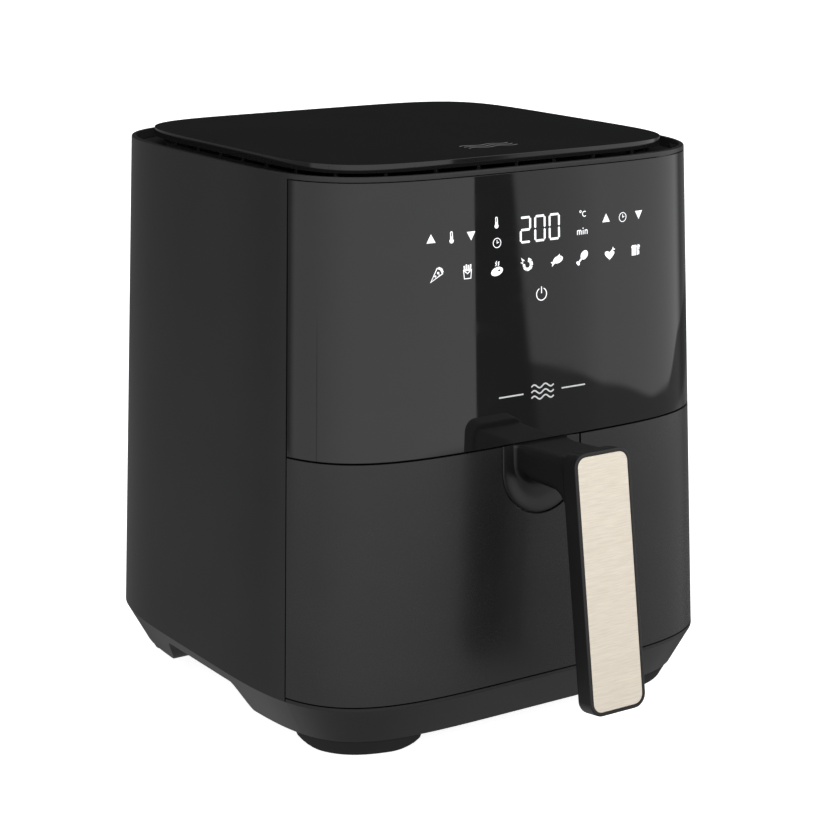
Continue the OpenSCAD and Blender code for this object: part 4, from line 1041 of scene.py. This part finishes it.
def heaterTube(name, colour, rough):
    # oxidised tube, straw and blue from heat in patches
    f = Finish(name)
    patch = f.noise(38, 3, 0.6)
    straw, blue = (0.26, 0.19, 0.12, 1), (0.12, 0.13, 0.19, 1)
    stops = [(0.3, tone(colour, 0.7)), (0.5, tone(colour, 1.2)), (0.62, straw), (0.75, blue)]
    return f.surface(base_color=f.node("ValToRGB", {"Fac": patch}, stops=stops), metallic=0.85,
                     roughness=rough + (patch - 0.5) * 0.2, normal=f.bump(f.noise(1500, 3, 0.6), 0.15, 0.00005))


def circuit(name, colour, copper):
    # solder mask over straight tracks
    f = Finish(name)
    upright = f.node("Mapping", {"Vector": f.place(), "Rotation": (math.pi / 2, 0, 0)})
    tracks = f.node("TexBrick", {
        "Vector": upright, "Scale": 90.0, "Mortar Size": 0.05, "Brick Width": 0.9, "Row Height": 0.22,
        "Color1": (0, 0, 0, 1), "Color2": (0.25, 0.25, 0.25, 1), "Mortar": (1, 1, 1, 1)}, output="Fac")
    weave = f.noise(1400, 1, 0.5)
    return f.surface(base_color=f.blend(tone(colour, 1), tone(copper, 1), tracks * 0.45),
                     roughness=0.36 + (weave - 0.5) * 0.1, normal=f.bump(tracks, 0.2, 0.00004),
                     coat_weight=0.3 + (weave - 0.5) * 0.1)


def coated(name, colour, rough):
    # non-stick coating: a dense fine speckle with a low sheen
    f = Finish(name)
    specks = f.noise(2200, 2, 0.6)
    slow = f.noise(20, 3, 0.6)
    return f.surface(base_color=f.blend(tone(colour, 0.85), tone(colour, 1.9), f.step(specks, 0.6, 0.72) * 0.7),
                     roughness=rough + (slow - 0.5) * 0.1, normal=f.bump(specks, 0.16, 0.00005))


def fibre(name, colour):
    f = Finish(name)
    strands = f.noise(420, 6, 0.75, (1, 0.16, 1), 1.5)
    return f.surface(base_color=f.blend(tone(colour, 0.7), tone(colour, 1.15), strands),
                     roughness=0.9 + (strands - 0.5) * 0.1, normal=f.bump(strands, 0.6, 0.0003),
                     specular_ior_level=0.2)


def sleeve(name, colour):
    f = Finish(name)
    braid = f.node("TexVoronoi", {"Vector": f.place(), "Scale": 1300.0}, output="Distance")
    return f.surface(base_color=f.blend(tone(colour, 0.75), tone(colour, 1.1), braid),
                     roughness=0.55 + (braid - 0.5) * 0.1, normal=f.bump(braid, 0.3, 0.00008))


# print whose colour is also sent to emission: the backlit display symbols' own light, but a painted glow on the
# printed emblem and lid mark
def litPrint(name, colour, glow, wear=0.08):
    f = Finish(name)
    ink = f.noise(700, 2, 0.5)
    shade = f.blend(tone(colour, 1 - wear), tone(colour, 1.0), f.step(ink, 0.3, 0.7))
    return f.surface(base_color=shade, emission_color=shade, emission_strength=glow,
                     roughness=0.5 + (ink - 0.5) * 0.1)


looks = {
    "shell_plastic": (moulded, {"colour": (0.0132, 0.0132, 0.0136), "rough": 0.33, "bump": 0.08,
                                "specular": 0.45}),
    "drawer_plastic": (moulded, {"colour": (0.0155, 0.0155, 0.016), "rough": 0.27,
                                 "roughSpread": 0.03, "bump": 0.03}),
    "gloss_black": (polished, {"colour": (0.0125, 0.0125, 0.013), "rough": 0.02}),
    "black_plastic": (moulded, {"colour": (0.0115, 0.0115, 0.0118), "rough": 0.33, "bump": 0.08,
                                "specular": 0.4}),
    "foot_rubber": (rubbery, {"colour": (0.012, 0.012, 0.012)}),
    "seal_rubber": (rubbery, {"colour": (0.2, 0.2, 0.205), "rough": 0.6}),
    "inlay_metal": (brushedInlay, {"colour": (0.9, 0.82, 0.7), "rough": 0.42}),
    "sheet_steel": (sheetMetal, {"colour": (0.55, 0.55, 0.56), "rough": 0.34}),
    "heater_steel": (heaterTube, {"colour": (0.2, 0.19, 0.18), "rough": 0.42}),
    "fan_aluminium": (sheetMetal, {"colour": (0.66, 0.66, 0.67), "rough": 0.38, "stretch": (1, 8, 1)}),
    "laminations": (banded, {"colour": (0.34, 0.34, 0.36), "dark": (0.12, 0.12, 0.13), "scale": 300,
                             "rough": 0.45, "metallic": 1.0}),
    "copper_winding": (banded, {"colour": (0.55, 0.22, 0.09), "dark": (0.2, 0.07, 0.03), "scale": 260,
                                "rough": 0.35, "metallic": 0.7, "axis": "DIAGONAL"}),
    "bronze": (sheetMetal, {"colour": (0.6, 0.42, 0.2), "rough": 0.4, "stretch": (1, 1, 1), "scale": 300}),
    "pan_coating": (coated, {"colour": (0.024, 0.024, 0.026), "rough": 0.38}),
    "insulation_board": (fibre, {"colour": (0.6, 0.56, 0.48)}),
    "circuit_board": (circuit, {"colour": (0.015, 0.11, 0.05), "copper": (0.12, 0.3, 0.12)}),
    "display_plastic": (moulded, {"colour": (0.72, 0.7, 0.64), "rough": 0.45, "shade": 0.05}),
    "contact_metal": (sheetMetal, {"colour": (0.7, 0.52, 0.2), "rough": 0.3, "stretch": (1, 1, 1),
                                   "scale": 200}),
    "relay_blue": (moulded, {"colour": (0.03, 0.1, 0.35), "rough": 0.4, "shade": 0.08}),
    "capacitor_yellow": (moulded, {"colour": (0.6, 0.45, 0.06), "rough": 0.35, "shade": 0.06}),
    "transformer_tape": (banded, {"colour": (0.55, 0.36, 0.06), "dark": (0.42, 0.26, 0.04),
                                  "scale": 70, "rough": 0.4, "metallic": 0.0, "bump": 0.2}),
    "cutout_black": (moulded, {"colour": (0.03, 0.03, 0.034), "rough": 0.5}),
    "wire_white": (sleeve, {"colour": (0.6, 0.6, 0.6)}),
    "wire_red": (sleeve, {"colour": (0.45, 0.06, 0.04)}),
}


def makeFinishes():
    made = {}
    for slot, (look, settings) in looks.items():
        made[slot] = look(slot, **settings)
    made["lid"] = lidFace("lid_face", (0.0125, 0.0125, 0.013))
    made["symbols"] = litPrint("lit_symbols", (0.86, 0.88, 0.9), 0.8)
    # the printed emblem gets a painted glow from emission strength 0.25
    made["emblem"] = litPrint("printed_grey_painted_glow", (0.62, 0.63, 0.64), 0.25)
    # the printed lid mark gets a faint painted glow from emission strength 0.05
    made["lidMark"] = litPrint("printed_dim_painted_glow", (0.3, 0.3, 0.31), 0.05)
    for part in record["subparts"]:
        node = nodes[part["node"]]
        node.data.materials.clear()
        node.data.materials.append(made[part["material_slot"]])
    return made


# camera, floor and light
view = {"place": (-0.65076, middleY - 0.99348, 0.44988), "down": 14.461, "turn": 33.478, "lens": 96.26}
# radiance of the soft boxes and of what lies between them; angles in degrees, 0 straight in front
studio = {
    "boxes": 1.14, "leftEnd": 0.78, "behind": 0.14, "between": 0.085, "floor": 0.6,
    "gapStart": 32.75, "gapEnd": 35.7, "rightEnd": 84, "rightLow": -9.62, "horizon": -12.2, "above": 48,
}


def makeCamera():
    bpy.ops.object.camera_add(location=view["place"],
                              rotation=(math.radians(90 - view["down"]), 0, -math.radians(view["turn"])))
    camera = bpy.context.object
    camera.data.lens, camera.data.sensor_width = view["lens"], 36
    camera.data.clip_start, camera.data.clip_end = 0.05, 50
    bpy.context.scene.camera = camera


def makeFloor():
    bpy.ops.mesh.primitive_plane_add(size=14, location=(0, 0, -0.0002))
    floor = bpy.context.object
    floor.name = "floor"
    f = Finish("pale_floor")
    soft = f.noise(2, 2, 0.5)
    f.surface(base_color=f.blend((0.8, 0.8, 0.8, 1), (0.83, 0.83, 0.83, 1), soft), specular_ior_level=0.0,
              roughness=0.8 + (soft - 0.5) * 0.1, emission_color=(1, 1, 1, 1), emission_strength=0.9)
    floor.data.materials.append(f.material)
    floor.visible_glossy = floor.visible_diffuse = False
    floor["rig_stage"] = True


def makeStudio():
    world = bpy.data.worlds.new("studio")
    bpy.context.scene.world = world
    world.use_nodes = True
    f = Finish("studio", world.node_tree)
    s = studio
    where = f.node("TexCoord", output="Generated")
    x, y, z = (f.node("SeparateXYZ", {"Vector": where}, output=axis) for axis in "XYZ")
    turn = x.sum("ARCTAN2", x, 0.0 - y) * (180 / math.pi)
    lift = z.sum("ARCSINE", z) * (180 / math.pi)
    drop = lift * -1
    # left soft box: bright in front, fading round to the back, with the dark line of its stand
    left = f.step(turn, -116, -108, s["behind"], s["leftEnd"])
    left = left + f.step(turn, -112, -28, 0, s["boxes"] - s["leftEnd"])
    left = left * (1 - f.step(turn, s["gapStart"] - 0.12, s["gapStart"] + 0.12))
    rod = f.step(turn, -83, -82.2) * (1 - f.step(turn, -81.8, -81)) * f.step(drop, 6.5, 9)
    left = left * (1 - 0.45 * rod)
    # right soft box: soft left side, and a lower edge that drops to the right
    near = turn + (lift + 5) * 0.083
    sharpEnd = s["gapEnd"] + 0.16
    right = f.step(near, s["gapEnd"] - 0.12, sharpEnd, 0, 0.76)
    right = right + f.step(near, sharpEnd, 39.8, 0, s["boxes"] - 0.78)
    right = right * (1 - f.step(turn, s["rightEnd"], s["rightEnd"] + 16, 0, 0.88))
    edge = s["rightLow"] - f.step(turn, 34.5, 40, 0, 0.7) - f.step(turn, 36, 58, 0, 0.65)
    edge = edge + f.step(turn, 70, 90, 0, 0.85)
    inRight = f.step(lift - edge, -0.12, 0.12)
    right = right * (0.22 + 0.78 * inRight)
    upper = left + right + s["between"]
    # under the horizon a paler floor, with the same dark gap, wider
    drift = turn - f.step(drop, 12.2, 15.5, 0, 2.6)
    gap = f.step(drift, 30.6, 31.8) * (1 - f.step(drift, 36.8, 38.4)) * (1 - 0.8 * f.step(drop, 17, 24))
    under = (s["floor"] - 0.25 * f.step(drop, 12, 26)) * (1 - 0.88 * gap)
    farLeft = 1 - f.step(turn, -134, -128)
    shade = farLeft * (1 - f.step(drop, 20, 30))
    farRight = f.step(turn, 86, 104) * (1 - f.step(drop, 30, 38))
    under = under * (1 - 0.5 * shade) * (1 - 0.6 * farRight) + 0.15 * farLeft * f.step(drop, 26, 34)
    low = f.step(drop, -s["horizon"] - 0.3, -s["horizon"] + 0.3)
    # dark backdrop high behind, and a soft light overhead
    back = f.step(turn, 104, 124) * f.step(lift, 2, 9)
    upper = upper * (1 - 0.93 * back)
    overhead = f.step(lift, s["above"] - 8, s["above"] + 14)
    shine = upper * (1 - low) + under * low
    shine = shine * (1 - overhead) + 0.9 * overhead
    lights = f.node("Background", {"Color": (1, 1, 1, 1), "Strength": shine})
    backdrop = f.node("Background", {"Color": (1, 1, 1, 1), "Strength": 1.0})
    seen = f.node("LightPath", output="Is Camera Ray")
    f.node("OutputWorld", {"Surface": f.node("MixShader", {0: seen, 1: lights, 2: backdrop})})
    bpy.context.scene.view_settings.view_transform = "Standard"
    bpy.context.scene.view_settings.look = "None"


makeCamera()
makeFloor()
makeStudio()
print("camera, floor and studio made")
makeShell()
makeBase()
for name, (node, turn) in foot["places"].items():
    makeFoot(name, node, turn)
makePanel()
makeDrawerFront()
makePocket()
makeHandle()
makeInlay()
lidPiece = makeLid()
makePan()
lit, mark, lidMark = makePrints()
finishes = makeFinishes()
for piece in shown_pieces():
    if "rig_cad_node" not in piece and "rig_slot" in piece:
        piece.data.materials.clear()
        piece.data.materials.append(finishes[piece["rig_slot"]])
for piece, look in ((lidPiece, "lid"), (lit, "symbols"), (mark, "emblem"), (lidMark, "lidMark")):
    piece.data.materials.clear()
    piece.data.materials.append(finishes[look])
print("materials made:", len(finishes))
